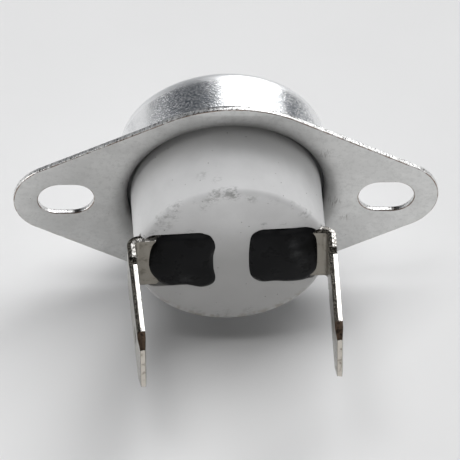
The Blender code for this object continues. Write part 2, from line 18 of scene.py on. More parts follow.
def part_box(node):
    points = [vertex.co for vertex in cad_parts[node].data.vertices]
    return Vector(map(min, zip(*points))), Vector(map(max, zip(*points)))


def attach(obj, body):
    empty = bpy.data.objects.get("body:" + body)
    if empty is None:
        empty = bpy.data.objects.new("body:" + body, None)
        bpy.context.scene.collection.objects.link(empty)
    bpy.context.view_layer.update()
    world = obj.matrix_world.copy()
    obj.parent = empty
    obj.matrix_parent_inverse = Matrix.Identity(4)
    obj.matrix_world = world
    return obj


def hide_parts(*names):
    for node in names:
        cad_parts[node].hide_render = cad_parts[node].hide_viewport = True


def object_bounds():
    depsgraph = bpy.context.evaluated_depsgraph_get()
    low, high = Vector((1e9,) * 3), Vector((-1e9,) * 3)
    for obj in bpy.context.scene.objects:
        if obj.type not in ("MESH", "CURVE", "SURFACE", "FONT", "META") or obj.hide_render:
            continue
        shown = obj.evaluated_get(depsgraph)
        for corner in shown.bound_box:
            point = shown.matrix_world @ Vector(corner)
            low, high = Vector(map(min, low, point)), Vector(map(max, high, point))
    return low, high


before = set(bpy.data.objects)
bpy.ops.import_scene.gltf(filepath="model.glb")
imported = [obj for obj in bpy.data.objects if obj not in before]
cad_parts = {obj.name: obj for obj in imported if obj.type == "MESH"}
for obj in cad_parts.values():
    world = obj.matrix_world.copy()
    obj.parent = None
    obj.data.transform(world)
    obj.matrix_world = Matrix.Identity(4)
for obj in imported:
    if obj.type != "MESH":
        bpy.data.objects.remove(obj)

Point2 = tuple[float, float]
Point3 = tuple[float, float, float]
Socket = bpy.types.NodeSocket
Colour = tuple[float, float, float]

MM = 0.001
CAD_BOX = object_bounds()
LOG = logging.getLogger("thermostat")

BODY_TURN = radians(3.7)
MERGE_DISTANCE = 0.0001
FACE_WEIGHT = 60
MIX_FIRST, MIX_SECOND, MIX_RESULT = 6, 7, 2
SPOT_GRAIN = 0.35
SPOT_CORE = 0.4


class Body(str, Enum):
    """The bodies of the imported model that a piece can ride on."""

    HOUSING = "housing"
    DISC = "disc"
    PIN = "pin"
    ARM = "arm"


class Side(IntEnum):
    """The two halves of the part, as the sign of their X."""

    LEFT = -1
    RIGHT = 1

    @property
    def label(self) -> str:
        """Return the word that names this side."""
        return self.name.lower()


class Lit(Enum):
    """What a lamp lights."""

    FLOOR = "floor"
    PART = "part"


class CapFace(IntEnum):
    """The face slots of the cap."""

    WALL = 0
    SHEET = 1
    EDGE = 2


class TabFace(IntEnum):
    """The face slots of a tab."""

    STRIP = 0
    BLADE = 1
    BURNISHED = 2
    TORN = 3
    PAINTED_SHADE_CHAMFER = 4
    TIP = 5


def reach(node: str, axis: int, upper: bool = True) -> float:
    """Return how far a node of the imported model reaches, in millimetres.

    Args:
        node: Name of the node.
        axis: 0 for X, 1 for Y or 2 for Z.
        upper: Whether the far end in the axis's direction is meant.

    Returns:
        The coordinate, without its sign.
    """
    low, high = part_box(node)
    return abs((high if upper else low)[axis]) / MM


def arc(centre: Point2, radius: float, start: float, end: float, steps: int) -> list[Point2]:
    """Return the points of an arc, both ends included.

    Args:
        centre: Centre of the arc.
        radius: Its radius.
        start: First angle in degrees.
        end: Last angle in degrees.
        steps: Number of facets.

    Returns:
        The points in order.
    """
    points = []
    for index in range(steps + 1):
        angle = radians(start + (end - start) * index / steps)
        points.append((centre[0] + radius * cos(angle), centre[1] + radius * sin(angle)))
    return points


def circle(centre: Point2, radius: float, count: int) -> list[Point2]:
    """Return a circle of the given number of points."""
    return arc(centre, radius, 0, 360 - 360 / count, count - 1)


def turned_ring(radius: float, height: float, segments: int) -> list[Point3]:
    """Return a level circle about the axis, as a turned piece has it."""
    return [(radius * cos(2 * pi * k / segments), radius * sin(2 * pi * k / segments), height)
            for k in range(segments)]


def closed_curve(points: Sequence[Point2], steps: int) -> list[Point2]:
    """Return a smooth closed curve through the given points.

    Args:
        points: The points that the curve passes.
        steps: Number of facets between two of them.

    Returns:
        The points of the curve in order.
    """
    curve = []
    count = len(points)
    for index in range(count):
        knots = [points[(index + k) % count] for k in (-1, 0, 1, 2)]
        for step in range(steps):
            t = step / steps
            weights = (-0.5 * t + t * t - 0.5 * t ** 3, 1 - 2.5 * t * t + 1.5 * t ** 3,
                       0.5 * t + 2 * t * t - 1.5 * t ** 3, -0.5 * t * t + 0.5 * t ** 3)
            curve.append((sum(w * k[0] for w, k in zip(weights, knots)),
                          sum(w * k[1] for w, k in zip(weights, knots))))
    return curve


class Draft:
    """A mesh in the making, drawn upright in millimetres, with a finish for each face."""

    def __init__(self) -> None:
        """Start with no points and no faces."""
        self.points: list[Point3] = []
        self.faces: list[tuple[int, ...]] = []
        self.slots: list[int] = []

    def loop(self, points: Iterable[Point3]) -> list[int]:
        """Add a ring of points.

        Args:
            points: The points in order.

        Returns:
            Their numbers.
        """
        start = len(self.points)
        self.points.extend(points)
        return list(range(start, len(self.points)))

    def face(self, corners: Sequence[int], slot: int) -> None:
        """Add one face."""
        self.faces.append(tuple(corners))
        self.slots.append(slot)

    def band(self, first: Sequence[int], second: Sequence[int], slot: int = 0) -> None:
        """Join two closed rings of equal length by a band of quads.

        Args:
            first: Point numbers of one ring.
            second: Point numbers of the other.
            slot: The face slot of the band.
        """
        count = len(first)
        for index in range(count):
            after = (index + 1) % count
            self.face((first[index], first[after], second[after], second[index]), slot)

    def bands(self, rings: Sequence[Sequence[int]], slot: int = 0) -> None:
        """Join each ring to the next one by a band."""
        for first, second in zip(rings, rings[1:]):
            self.band(first, second, slot)

    def fan(self, ring: Sequence[int], tip: Point3, slot: int = 0) -> None:
        """Close a ring by a fan of triangles to one point.

        Args:
            ring: Point numbers of the ring.
            tip: The point that they meet in.
            slot: The face slot of the fan.
        """
        centre = self.loop([tip])[0]
        for index, corner in enumerate(ring):
            self.face((corner, ring[(index + 1) % len(ring)], centre), slot)

    def lid(self, rings: Sequence[Sequence[int]], slot: int = 0) -> None:
        """Close a flat region.

        Args:
            rings: Its outer ring and, after it, the rings of its holes.
            slot: The face slot of the lid.
        """
        rows = [[Vector(self.points[number]) for number in ring] for ring in rings]
        flat = [number for ring in rings for number in ring]
        for corners in geometry.tessellate_polygon(rows):
            self.face([flat[corner] for corner in corners], slot)

    def build(self, name: str, finishes: Sequence[bpy.types.Material]) -> bpy.types.Object:
        """Return the finished object, smooth, with its faces turned outwards.

        Args:
            name: Name of the object.
            finishes: Its materials, in the order of the face slots.

        Returns:
            The object, linked to the scene.
        """
        mesh = bpy.data.meshes.new(name)
        scaled = [tuple(value * MM for value in point) for point in self.points]
        mesh.from_pydata(scaled, [], self.faces)
        for finish in finishes:
            mesh.materials.append(finish)
        mesh.polygons.foreach_set("material_index", self.slots)
        work = bmesh.new()
        work.from_mesh(mesh)
        bmesh.ops.recalc_face_normals(work, faces=work.faces)
        work.to_mesh(mesh)
        work.free()
        mesh.polygons.foreach_set("use_smooth", [True] * len(mesh.polygons))
        piece = bpy.data.objects.new(name, mesh)
        bpy.context.scene.collection.objects.link(piece)
        return piece


def prism(name: str, outline: Sequence[Point2], low: float, high: float) -> bpy.types.Object:
    """Return an upright solid over an outline.

    Args:
        name: Its name.
        outline: Its outline, seen from above.
        low: Height of its bottom.
        high: Height of its top.

    Returns:
        The object, without a finish.
    """
    draft = Draft()
    bottom = draft.loop((across, along, low) for across, along in outline)
    top = draft.loop((across, along, high) for across, along in outline)
    draft.band(bottom, top)
    draft.lid([bottom])
    draft.lid([top])
    return draft.build(name, [])


def lay_over(cutter: bpy.types.Object) -> None:
    """Turn an upright cutter so that its height runs along X.

    Args:
        cutter: The cutter.
    """
    for vertex in cutter.data.vertices:
        across, along, height = vertex.co
        vertex.co = (height, across, along)


def carve(piece: bpy.types.Object, cutters: Sequence[bpy.types.Object]) -> None:
    """Cut solids out of a piece, keep the result as its mesh and throw the cutters away.

    Args:
        piece: The piece to cut.
        cutters: The solids to cut out of it.
    """
    for cutter in cutters:
        boolean = piece.modifiers.new(cutter.name, "BOOLEAN")
        boolean.operation = "DIFFERENCE"
        boolean.solver = "EXACT"
        boolean.object = cutter
    depsgraph = bpy.context.evaluated_depsgraph_get()
    cut = bpy.data.meshes.new_from_object(piece.evaluated_get(depsgraph))
    piece.modifiers.clear()
    piece.data = cut
    clean = bmesh.new()
    clean.from_mesh(cut)
    bmesh.ops.remove_doubles(clean, verts=clean.verts, dist=MERGE_DISTANCE * MM)
    clean.to_mesh(cut)
    clean.free()
    for cutter in cutters:
        bpy.data.objects.remove(cutter, do_unlink=True)


def install(piece: bpy.types.Object, node: str, body: Body, turned: bool = True) -> None:
    """Lay a piece down into the frame, shade its flats evenly and put it in its node's place.

    Args:
        piece: The upright piece.
        node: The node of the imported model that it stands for.
        body: The body that it rides on.
        turned: Whether it shares the small turn of the ceramic base in the cap.
    """
    turn = Matrix.Rotation(BODY_TURN if turned else 0.0, 4, "Z")
    piece.matrix_world = Matrix.Rotation(pi / 2, 4, "X") @ turn
    even = piece.modifiers.new("even_shading", "WEIGHTED_NORMAL")
    even.keep_sharp = True
    even.weight = FACE_WEIGHT
    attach(piece, body.value)
    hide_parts(node)
    LOG.info("%s: %d faces on %s", piece.name, len(piece.data.polygons), body.value)


@dataclass(frozen=True)
class Grain:
    """Soft noise of one size.

    Attributes:
        size: Width of its blobs in millimetres.
        detail: How many finer layers it has.
        rough: How strong the finer layers are.
        stretch: How much denser it is along each axis.
    """

    size: float
    detail: float = 3.0
    rough: float = 0.55
    stretch: Point3 = (1, 1, 1)


@dataclass(frozen=True)
class Fade:
    """A smooth step.

    Attributes:
        start, end: The values between which it goes.
        low, high: What it goes from and to.
    """

    start: float
    end: float
    low: float = 0.0
    high: float = 1.0


@dataclass(frozen=True)
class Relief:
    """Relief of a surface.

    Attributes:
        depth: Its depth in millimetres.
        strength: How much of it shows.
    """

    depth: float
    strength: float


@dataclass(frozen=True)
class Spot:
    """A ragged patch on a piece.

    Attributes:
        centre: Its centre.
        size: Its radius.
        share: How much of it shows.
        ragged: How far noise eats into it, as a share of its radius.
    """

    centre: Point3
    size: float
    share: float = 1.0
    ragged: float = 0.3


@dataclass(frozen=True)
class Specks:
    """Small specks that lie in groups.

    Attributes:
        cell: How far apart they lie in millimetres.
        dot: Distance from a speck's middle over which it fades, in cells.
        group: The noise that gathers them.
        grouped: Where in that noise they show.
        share: How strongly they show.
    """

    cell: float
    dot: Fade
    group: Grain
    grouped: Fade
    share: float


class Recipe:
    """A node material in the making. Its methods add nodes and return their output sockets."""

    def __init__(self, name: str) -> None:
        """Start a material.

        Args:
            name: Its name.
        """
        self.material = bpy.data.materials.new(name)
        self.material.use_nodes = True
        self.tree = self.material.node_tree
        self.shader = self.tree.nodes["Principled BSDF"]
        place = self.tree.nodes.new("ShaderNodeTexCoord").outputs["Object"]
        self.place = self.stretched(place, (1 / MM, 1 / MM, 1 / MM))
        parts = self.add("ShaderNodeSeparateXYZ", {"Vector": self.place}).outputs
        self.across, self.along, self.height = parts

    def add(self, kind: str, inputs: dict[str | int, object], **settings: object) -> bpy.types.Node:
        """Add a node.

        Args:
            kind: Its type.
            inputs: Sockets or values for its inputs, by name or number.
            **settings: Its own properties.

        Returns:
            The node.
        """
        node = self.tree.nodes.new(kind)
        for key, value in settings.items():
            setattr(node, key, value)
        for key, value in inputs.items():
            if isinstance(value, Socket):
                self.tree.links.new(value, node.inputs[key])
            else:
                node.inputs[key].default_value = value
        return node

    def stretched(self, vector: Socket, scale: Point3) -> Socket:
        """Return a position with each of its axes scaled."""
        return self.add("ShaderNodeMapping", {"Vector": vector, "Scale": scale}).outputs[0]

    def noise(self, grain: Grain) -> Socket:
        """Return soft noise between 0 and 1.

        Args:
            grain: Its size and character.

        Returns:
            The noise.
        """
        scale = tuple(value / grain.size for value in grain.stretch)
        inputs = {"Vector": self.stretched(self.place, scale), "Scale": 1.0,
                  "Detail": grain.detail, "Roughness": grain.rough}
        return self.add("ShaderNodeTexNoise", inputs).outputs[0]

    def fade(self, value: Socket, fade: Fade) -> Socket:
        """Return the smooth step of a value.

        Args:
            value: The value.
            fade: The step.

        Returns:
            The result.
        """
        inputs = {"Value": value, "From Min": fade.start, "From Max": fade.end,
                  "To Min": fade.low, "To Max": fade.high}
        return self.add("ShaderNodeMapRange", inputs, interpolation_type="SMOOTHSTEP").outputs[0]

    def math(self, operation: str, first: Socket | float, second: Socket | float = 0.0) -> Socket:
        """Return the result of a math operation on two values."""
        return self.add("ShaderNodeMath", {0: first, 1: second}, operation=operation).outputs[0]

    def times(self, first: Socket, *others: Socket | float) -> Socket:
        """Return the product of all the given values.

        Args:
            first: The first value.
            *others: The values that it is multiplied by.

        Returns:
            The product.
        """
        product = first
        for other in others:
            product = self.math("MULTIPLY", product, other)
        return product

    def radius(self) -> Socket:
        """Return the distance from the part's own axis."""
        squares = [self.times(axis, axis) for axis in (self.across, self.along)]
        return self.math("SQRT", self.math("ADD", *squares))

    def spot(self, spot: Spot) -> Socket:
        """Return how far each place lies in a spot: 1 at its centre, 0 outside it.

        Args:
            spot: The spot. Its own share isn't counted in.

        Returns:
            The result.
        """
        inputs = {0: self.place, 1: spot.centre}
        away = self.add("ShaderNodeVectorMath", inputs, operation="DISTANCE").outputs["Value"]
        noise = self.noise(Grain(spot.size * SPOT_GRAIN, detail=4))
        spread = self.math("ADD", away, self.times(noise, 2 * spot.ragged * spot.size))
        return self.fade(spread, Fade(spot.size * (1 + spot.ragged), spot.size * SPOT_CORE))

    def specks(self, specks: Specks) -> Socket:
        """Return the share of scattered specks.

        Args:
            specks: The specks.

        Returns:
            The share.
        """
        vector = self.stretched(self.place, (1 / specks.cell,) * 3)
        cells = self.add("ShaderNodeTexVoronoi", {"Vector": vector, "Scale": 1.0})
        group = self.fade(self.noise(specks.group), specks.grouped)
        return self.times(self.fade(cells.outputs["Distance"], specks.dot), group, specks.share)

    def tint(self, share: Socket, first: Socket | Colour, second: Socket | Colour) -> Socket:
        """Return a mix of two colours.

        Args:
            share: 0 for the first colour and 1 for the second.
            first: The first colour.
            second: The second colour.

        Returns:
            The mix.
        """
        inputs = {"Factor": share}
        for number, value in ((MIX_FIRST, first), (MIX_SECOND, second)):
            inputs[number] = value if isinstance(value, Socket) else (*value, 1.0)
        return self.add("ShaderNodeMix", inputs, data_type="RGBA").outputs[MIX_RESULT]

    def bump(self, height: Socket, relief: Relief, below: Socket | None = None) -> Socket:
        """Return a normal bent by a height.

        Args:
            height: The height, 0 to 1.
            relief: What 1 stands for, and how much of it shows.
            below: A normal that is already bent.

        Returns:
            The bent normal.
        """
        inputs = {"Height": height, "Distance": relief.depth * MM, "Strength": relief.strength}
        if below is not None:
            inputs["Normal"] = below
        return self.add("ShaderNodeBump", inputs).outputs[0]

    def finish(self, colour: Socket, roughness: Socket | float, normal: Socket,
               metallic: float = 0.0, specular: float = 0.5) -> bpy.types.Material:
        """Set the shader and return the material.

        Args:
            colour: Base colour.
            roughness: Roughness.
            normal: Bent normal.
            metallic: 1 for a metal.
            specular: Specular level.

        Returns:
            The material.
        """
        self.tree.links.new(colour, self.shader.inputs["Base Color"])
        self.tree.links.new(normal, self.shader.inputs["Normal"])
        if isinstance(roughness, Socket):
            self.tree.links.new(roughness, self.shader.inputs["Roughness"])
        else:
            self.shader.inputs["Roughness"].default_value = roughness
        self.shader.inputs["Metallic"].default_value = metallic
        self.shader.inputs["Specular IOR Level"].default_value = specular
        return self.material


@dataclass(frozen=True)
class SatinSheet:
    """Rolled aluminium as it comes off the coil: grey, mottled, with specks and hairlines.

    Attributes:
        name: Name of the material.
        light, dark: The two greys of its clouds.
        mottle_and_painted_shade: Colour of its mottling and of its painted shade patch.
        speck: Colour of its specks and hairlines.
        root_painted_shade: Colour of the painted shade in the root beside the wall.
        cloud, clouded: The clouds, and where they turn light.
        mottle, mottled: The mottling, and where it shows.
        specks: The specks.
        scratches: Patches that hold hairlines.
        hairline, hairlines: The hairlines, and where they show.
        painted_shade_patch: Patch of painted shade over the left lobe, darker in colour.
        root_shade_span: Distances from the axis between which painted shade darkens the root.
        roughness: Roughness over the clouds.
        grain, grained: The rolling grain and its relief.
        wave, waved: The sheet's waviness and its relief.
        turning, turned: Distances from the axis between which the sheet turns in, and its relief.
    """

    name: str = "satin_sheet"
    light: Colour = (0.79, 0.79, 0.78)
    dark: Colour = (0.70, 0.70, 0.69)
    mottle_and_painted_shade: Colour = (0.48, 0.48, 0.47)
    speck: Colour = (0.16, 0.14, 0.12)
    root_painted_shade: Colour = (0.26, 0.26, 0.255)
    cloud: Grain = Grain(3.0, 5, 0.6)
    clouded: Fade = Fade(0.38, 0.62)
    mottle: Grain = Grain(0.45, 5, 0.75)
    mottled: Fade = Fade(0.46, 0.66, 0.0, 0.30)
    specks: Specks = Specks(0.55, Fade(0.13, 0.07), Grain(1.3, 2), Fade(0.58, 0.66), 0.7)
    scratches: tuple[Spot, ...] = (
        Spot((10.4, -0.7, 7.8), 1.0, 0.75), Spot((11.7, -3.0, 7.8), 0.7, 0.75),
        Spot((-9.9, 2.2, 7.8), 0.5, 0.75), Spot((9.2, 6.2, 7.8), 0.8, 0.75))
    hairline: Grain = Grain(0.22, 2, stretch=(1.6, 0.2, 1))
    hairlines: Fade = Fade(0.48, 0.6)
    painted_shade_patch: Spot = Spot((-15.0, -1.0, 7.8), 7.5, 0.36)
    root_shade_span: Fade = Fade(11.5, 10.1, 0.0, 0.42)
    roughness: Fade = Fade(0.3, 0.75, 0.42, 0.54)
    grain: Grain = Grain(0.14)
    grained: Relief = Relief(0.012, 0.5)
    wave: Grain = Grain(1.4)
    waved: Relief = Relief(0.02, 0.35)
    turning: Fade = Fade(10.0, 11.6)
    turned: Relief = Relief(0.10, 0.8)

    def make(self) -> bpy.types.Material:
        """Mix the finish.

        Returns:
            The material.
        """
        recipe = Recipe(self.name)
        cloud = recipe.noise(self.cloud)
        colour = recipe.tint(recipe.fade(cloud, self.clouded), self.dark, self.light)
        mottle = recipe.fade(recipe.noise(self.mottle), self.mottled)
        colour = recipe.tint(mottle, colour, self.mottle_and_painted_shade)
        colour = recipe.tint(recipe.specks(self.specks), colour, self.speck)
        hairlines = recipe.fade(recipe.noise(self.hairline), self.hairlines)
        for scratch in self.scratches:
            share = recipe.times(recipe.spot(scratch), hairlines, scratch.share)
            colour = recipe.tint(share, colour, self.speck)
        # Painted shade: a broad patch over the left lobe, tinted darker.
        painted_shade = recipe.times(recipe.spot(self.painted_shade_patch), self.painted_shade_patch.share)
        colour = recipe.tint(painted_shade, colour, self.mottle_and_painted_shade)
        # Painted shade in the root, where the sheet turns into the cup.
        colour = recipe.tint(recipe.fade(recipe.radius(), self.root_shade_span), colour, self.root_painted_shade)
        normal = recipe.bump(recipe.noise(self.grain), self.grained)
        normal = recipe.bump(recipe.noise(self.wave), self.waved, normal)
        normal = recipe.bump(recipe.fade(recipe.radius(), self.turning), self.turned, normal)
        return recipe.finish(colour, recipe.fade(cloud, self.roughness), normal, metallic=1.0)


@dataclass(frozen=True)
class DrawnWall:
    """The wall of the cup, burnished by the drawing die into a soft mirror.

    Attributes:
        name: Name of the material.
        light: Colour of the burnished metal.
        dark: Colour of its pits, with painted reflection where they gather in the patches, and of the
            painted shade along the fold and at the corner.
        patches: The patches where pits lie thickest, laid where the wall reflects dark surroundings:
            real pitting, and painted reflection in their dark colour.
        cloud, clouded: The clouds in which other pits lie, and where they show.
        pit, pitted: The pits, and where they darken the wall.
        band_start, band_end: Heights between which the pits begin and end.
        fold, folded, fold_shade_share: Height, half width and darkness of the painted shade line along
            the bead's fold.
        corner_painted_shade: Heights between which painted shade darkens the corner.
        shouldered: Roughness between the shoulder and the wall.
        worn_roughness: How much rougher the pits are.
        ripple, rippled: The ripples of drawing and their relief.
        pits_deep, pits_relief: How deep the pits are over the patches, and their relief.
    """

    name: str = "drawn_wall"
    light: Colour = (0.90, 0.905, 0.91)
    dark: Colour = (0.18, 0.20, 0.225)
    patches: tuple[Spot, ...] = (Spot((-4.2, 9.0, 3.9), 6.2), Spot((6.6, 7.5, 3.9), 4.6))
    cloud: Grain = Grain(3.0, 2)
    clouded: Fade = Fade(0.5, 0.7, 0.0, 0.35)
    pit: Grain = Grain(0.16, 5, 0.7, (0.6, 0.6, 1.4))
    pitted: Fade = Fade(0.46, 0.54, 0.05, 1.0)
    band_start: Fade = Fade(1.2, 1.9)
    band_end: Fade = Fade(5.3, 4.7)
    fold: float = 6.45
    fold_shade_width: Fade = Fade(0.24, 0.08)
    fold_shade_share: float = 0.7
    corner_painted_shade: Fade = Fade(1.4, 0.5, 0.0, 0.22)
    shouldered: Fade = Fade(1.9, 0.9, 0.17, 0.42)
    worn_roughness: float = 0.15
    ripple: Grain = Grain(0.9, stretch=(1, 1, 0.5))
    rippled: Relief = Relief(0.03, 0.4)
    pits_deep: Fade = Fade(0.1, 0.6, 0.15, 1.0)
    pits_relief: Relief = Relief(0.030, 1.0)

    def make(self) -> bpy.types.Material:
        """Mix the finish.

        Returns:
            The material.
        """
        recipe = Recipe(self.name)
        # Pits gather in patches laid where the wall reflects dark surroundings: real pitting, with
        # painted dark reflection.
        patch = recipe.fade(recipe.noise(self.cloud), self.clouded)
        for spot in self.patches:
            patch = recipe.math("MAXIMUM", patch, recipe.spot(spot))
        pits = recipe.noise(self.pit)
        band = recipe.times(recipe.fade(recipe.height, self.band_start),
                            recipe.fade(recipe.height, self.band_end))
        worn = recipe.times(patch, recipe.fade(pits, self.pitted), band)
        colour = recipe.tint(worn, self.light, self.dark)
        # Painted shade: a thin dark line along the fold of the bead.
        beside = recipe.math("ABSOLUTE", recipe.math("SUBTRACT", recipe.height, self.fold))
        fold = recipe.times(recipe.fade(beside, self.fold_shade_width), self.fold_shade_share)
        colour = recipe.tint(fold, colour, self.dark)
        # Painted shade over the corner by the sensing face.
        colour = recipe.tint(recipe.fade(recipe.height, self.corner_painted_shade), colour, self.dark)
        roughness = recipe.math("ADD", recipe.times(worn, self.worn_roughness),
                                recipe.fade(recipe.height, self.shouldered))
        normal = recipe.bump(recipe.noise(self.ripple), self.rippled)
        depth = recipe.times(pits, recipe.fade(patch, self.pits_deep))
        normal = recipe.bump(depth, self.pits_relief, normal)
        return recipe.finish(colour, roughness, normal, metallic=1.0)


@dataclass(frozen=True)
class ShearedEdge:
    """The edge that the blanking punch leaves: bright, torn and speckled.

    Attributes:
        name: Name of the material.
        light: Colour of the bare metal.
        dark: Colour of its specks and nicks.
        brown: Colour along the burr.
        speck, speckled: The specks, and where they show.
        speck_share: How strongly they show.
        clean: A stretch with fewer specks. Its share is what is taken off them.
        nicks: Dark nicks in the edges of the slots.
        burr: Heights between which the burr begins.
        rag, ragged: What breaks the burr's brown line, and where it shows.
        tear, roughness, relief: The torn grain, its roughness and its relief.
    """

    name: str = "sheared_edge"
    light: Colour = (0.80, 0.80, 0.79)
    dark: Colour = (0.06, 0.055, 0.05)
    brown: Colour = (0.20, 0.13, 0.09)
    speck: Grain = Grain(0.26, 5, 0.7)
    speckled: Fade = Fade(0.53, 0.62)
    speck_share: float = 0.9
    clean: Spot = Spot((-15.5, -1.2, 7.55), 4.0, 0.8, 0.1)
    nicks: tuple[Spot, ...] = (Spot((-14.3, -2.0, 7.55), 0.7), Spot((16.5, -2.0, 7.55), 0.7))
    burr: Fade = Fade(7.70, 7.78)
    rag: Grain = Grain(0.9)
    ragged: Fade = Fade(0.35, 0.55, 0.2, 0.9)
    tear: Grain = Grain(0.18, stretch=(1, 1, 0.4))
    roughness: Fade = Fade(0.3, 0.7, 0.22, 0.42)
    relief: Relief = Relief(0.05, 0.6)

    def make(self) -> bpy.types.Material:
        """Mix the finish.

        Returns:
            The material.
        """
        recipe = Recipe(self.name)
        specks = recipe.fade(recipe.noise(self.speck), self.speckled)
        spared = recipe.times(recipe.spot(self.clean), self.clean.share)
        share = recipe.times(specks, recipe.math("SUBTRACT", self.speck_share, spared))
        colour = recipe.tint(share, self.light, self.dark)
        for nick in self.nicks:
            colour = recipe.tint(recipe.spot(nick), colour, self.dark)
        burr = recipe.times(recipe.fade(recipe.height, self.burr),
                            recipe.fade(recipe.noise(self.rag), self.ragged))
        colour = recipe.tint(burr, colour, self.brown)
        torn = recipe.noise(self.tear)
        normal = recipe.bump(torn, self.relief)
        return recipe.finish(colour, recipe.fade(torn, self.roughness), normal, metallic=1.0)


@dataclass(frozen=True)
class WhiteCeramic:
    """Unglazed white ceramic, rubbed grey along its rim, with painted shade on its end face that
    darkens towards the bottom and a painted shadow of the flange over its upper side at its foot.

    Attributes:
        end_face: Height of the end face.
        name: Name of the material.
        rim_radius: Radius of the end face's rim.
        body, shade: The two whites of its clouds.
        painted_shade_grey: Colour of the painted shade on the end face and of the painted shadow of the
            flange.
        rub: Colour of the rubbed marks.
        dirt: Colour of the dirt along the lower rim.
        speck: Colour of its specks.
        cloud, clouded: The clouds, and where they turn to shade.
        rim_width: Distances in from the rim between which it is rubbed.
        rim_depth: Depths under the end face between which it is rubbed.
        above, below: Where along the upright the upper and the lower rim begin.
        painted_face_shade: Where along the upright the painted shade on the end face sets in, darkening
            it towards the bottom.
        smudge, smudged: The fine smudges, and where they show.
        patch, patched: The patches that gather them, and where they show.
        rub_share: How strongly the upper rim is rubbed.
        soil, soiled, dirt_share: The dirt, where it shows and how strongly.
        flange_shadow_rise, flange_shadow_side: Heights and places along the upright between which the
            painted shadow of the flange lies.
        marks: Rubbed marks.
        specks: The specks.
        grain, grained: The fired grain and its relief.
        wave, waved: The waviness of the surface and its relief.
        roughness, specular: Roughness and specular level.
    """

    end_face: float
    name: str = "white_ceramic"
    rim_radius: float = 9.2
    body: Colour = (0.74, 0.74, 0.74)
    shade: Colour = (0.66, 0.66, 0.66)
    painted_shade_grey: Colour = (0.34, 0.335, 0.325)
    rub: Colour = (0.27, 0.27, 0.265)
    dirt: Colour = (0.27, 0.235, 0.19)
    speck: Colour = (0.10, 0.09, 0.08)
    cloud: Grain = Grain(4.0, 4)
    clouded: Fade = Fade(0.3, 0.75)
    rim_width: Point2 = (1.1, 0.35)
    rim_depth: Point2 = (1.0, 0.4)
    above: Fade = Fade(0.0, 3.0)
    below: Fade = Fade(-4.0, -7.5)
    painted_face_shade: Fade = Fade(6.0, -1.5, 0.0, 0.57)
    smudge: Grain = Grain(0.38, 6, 0.75, (0.6, 1, 1))
    smudged: Fade = Fade(0.46, 0.58)
    patch: Grain = Grain(2.6, 2)
    patched: Fade = Fade(0.50, 0.64)
    rub_share: float = 0.6
    soil: Grain = Grain(0.7, 4)
    soiled: Fade = Fade(0.42, 0.62)
    dirt_share: float = 0.7
    flange_shadow_rise: Fade = Fade(11.4, 8.2, 0.0, 0.42)
    flange_shadow_side: Fade = Fade(2.0, 7.0)
    marks: tuple[Spot, ...] = (
        Spot((-1.8, 8.3, 15.3), 1.0, 0.80, 0.5), Spot((0.3, 8.7, 15.3), 1.0, 0.75, 0.5),
        Spot((1.9, 8.1, 15.4), 0.9, 0.60, 0.5), Spot((-2.5, 7.3, 15.4), 0.8, 0.70, 0.5),
        Spot((-6.3, 4.9, 15.4), 1.1, 0.60, 0.5), Spot((-7.2, 3.9, 15.4), 0.8, 0.70, 0.5),
        Spot((-5.3, 6.0, 15.4), 0.8, 0.50, 0.5), Spot((-3.9, 3.9, 15.4), 0.7, 0.55, 0.5),
        Spot((3.2, 4.3, 15.4), 0.6, 0.70, 0.5), Spot((5.0, 4.4, 15.4), 0.6, 0.50, 0.5),
        Spot((-2.6, 9.2, 12.6), 0.9, 0.50, 0.5), Spot((-1.2, 9.2, 13.6), 0.7, 0.50, 0.5),
        Spot((-1.0, -8.3, 15.3), 1.3, 0.80, 0.5), Spot((-3.5, -7.8, 15.3), 1.1, 0.70, 0.5),
        Spot((1.8, -8.2, 15.3), 1.2, 0.70, 0.5))
    specks: Specks = Specks(0.7, Fade(0.10, 0.06), Grain(1.1, 2), Fade(0.50, 0.56), 0.8)
    grain: Grain = Grain(0.1)
    grained: Relief = Relief(0.01, 0.5)
    wave: Grain = Grain(1.8, 2)
    waved: Relief = Relief(0.03, 0.3)
    roughness: float = 0.62
    specular: float = 0.35

    def make(self) -> bpy.types.Material:
        """Mix the finish.

        Returns:
            The material.
        """
        recipe = Recipe(self.name)
        clouds = recipe.fade(recipe.noise(self.cloud), self.clouded)
        colour = recipe.tint(clouds, self.body, self.shade)
        rim = recipe.fade(recipe.radius(), Fade(*(self.rim_radius - step for step in self.rim_width)))
        top = recipe.fade(recipe.height, Fade(*(self.end_face - step for step in self.rim_depth)))
        edge = recipe.times(rim, top)
        # Painted shade: the end face grows darker towards its bottom.
        grey = recipe.times(top, recipe.fade(recipe.along, self.painted_face_shade))
        colour = recipe.tint(grey, colour, self.painted_shade_grey)
        smudge = recipe.fade(recipe.noise(self.smudge), self.smudged)
        patchy = recipe.times(recipe.fade(recipe.noise(self.patch), self.patched), smudge)
        upper = recipe.fade(recipe.along, self.above)
        rubbed = recipe.times(edge, upper, patchy, self.rub_share)
        colour = recipe.tint(rubbed, colour, self.rub)
        lower = recipe.fade(recipe.along, self.below)
        soil = recipe.fade(recipe.noise(self.soil), self.soiled)
        colour = recipe.tint(recipe.times(edge, lower, soil, self.dirt_share), colour, self.dirt)
        # Painted shadow of the flange on the upper side next to it.
        dust_and_painted_shade = recipe.times(recipe.fade(recipe.height, self.flange_shadow_rise),
                            recipe.fade(recipe.along, self.flange_shadow_side))
        colour = recipe.tint(dust_and_painted_shade, colour, self.painted_shade_grey)
        for mark in self.marks:
            share = recipe.times(recipe.spot(mark), smudge, mark.share)
            colour = recipe.tint(share, colour, self.rub)
        colour = recipe.tint(recipe.specks(self.specks), colour, self.speck)
        normal = recipe.bump(recipe.noise(self.grain), self.grained)
        normal = recipe.bump(recipe.noise(self.wave), self.waved, normal)
        return recipe.finish(colour, self.roughness, normal, specular=self.specular)


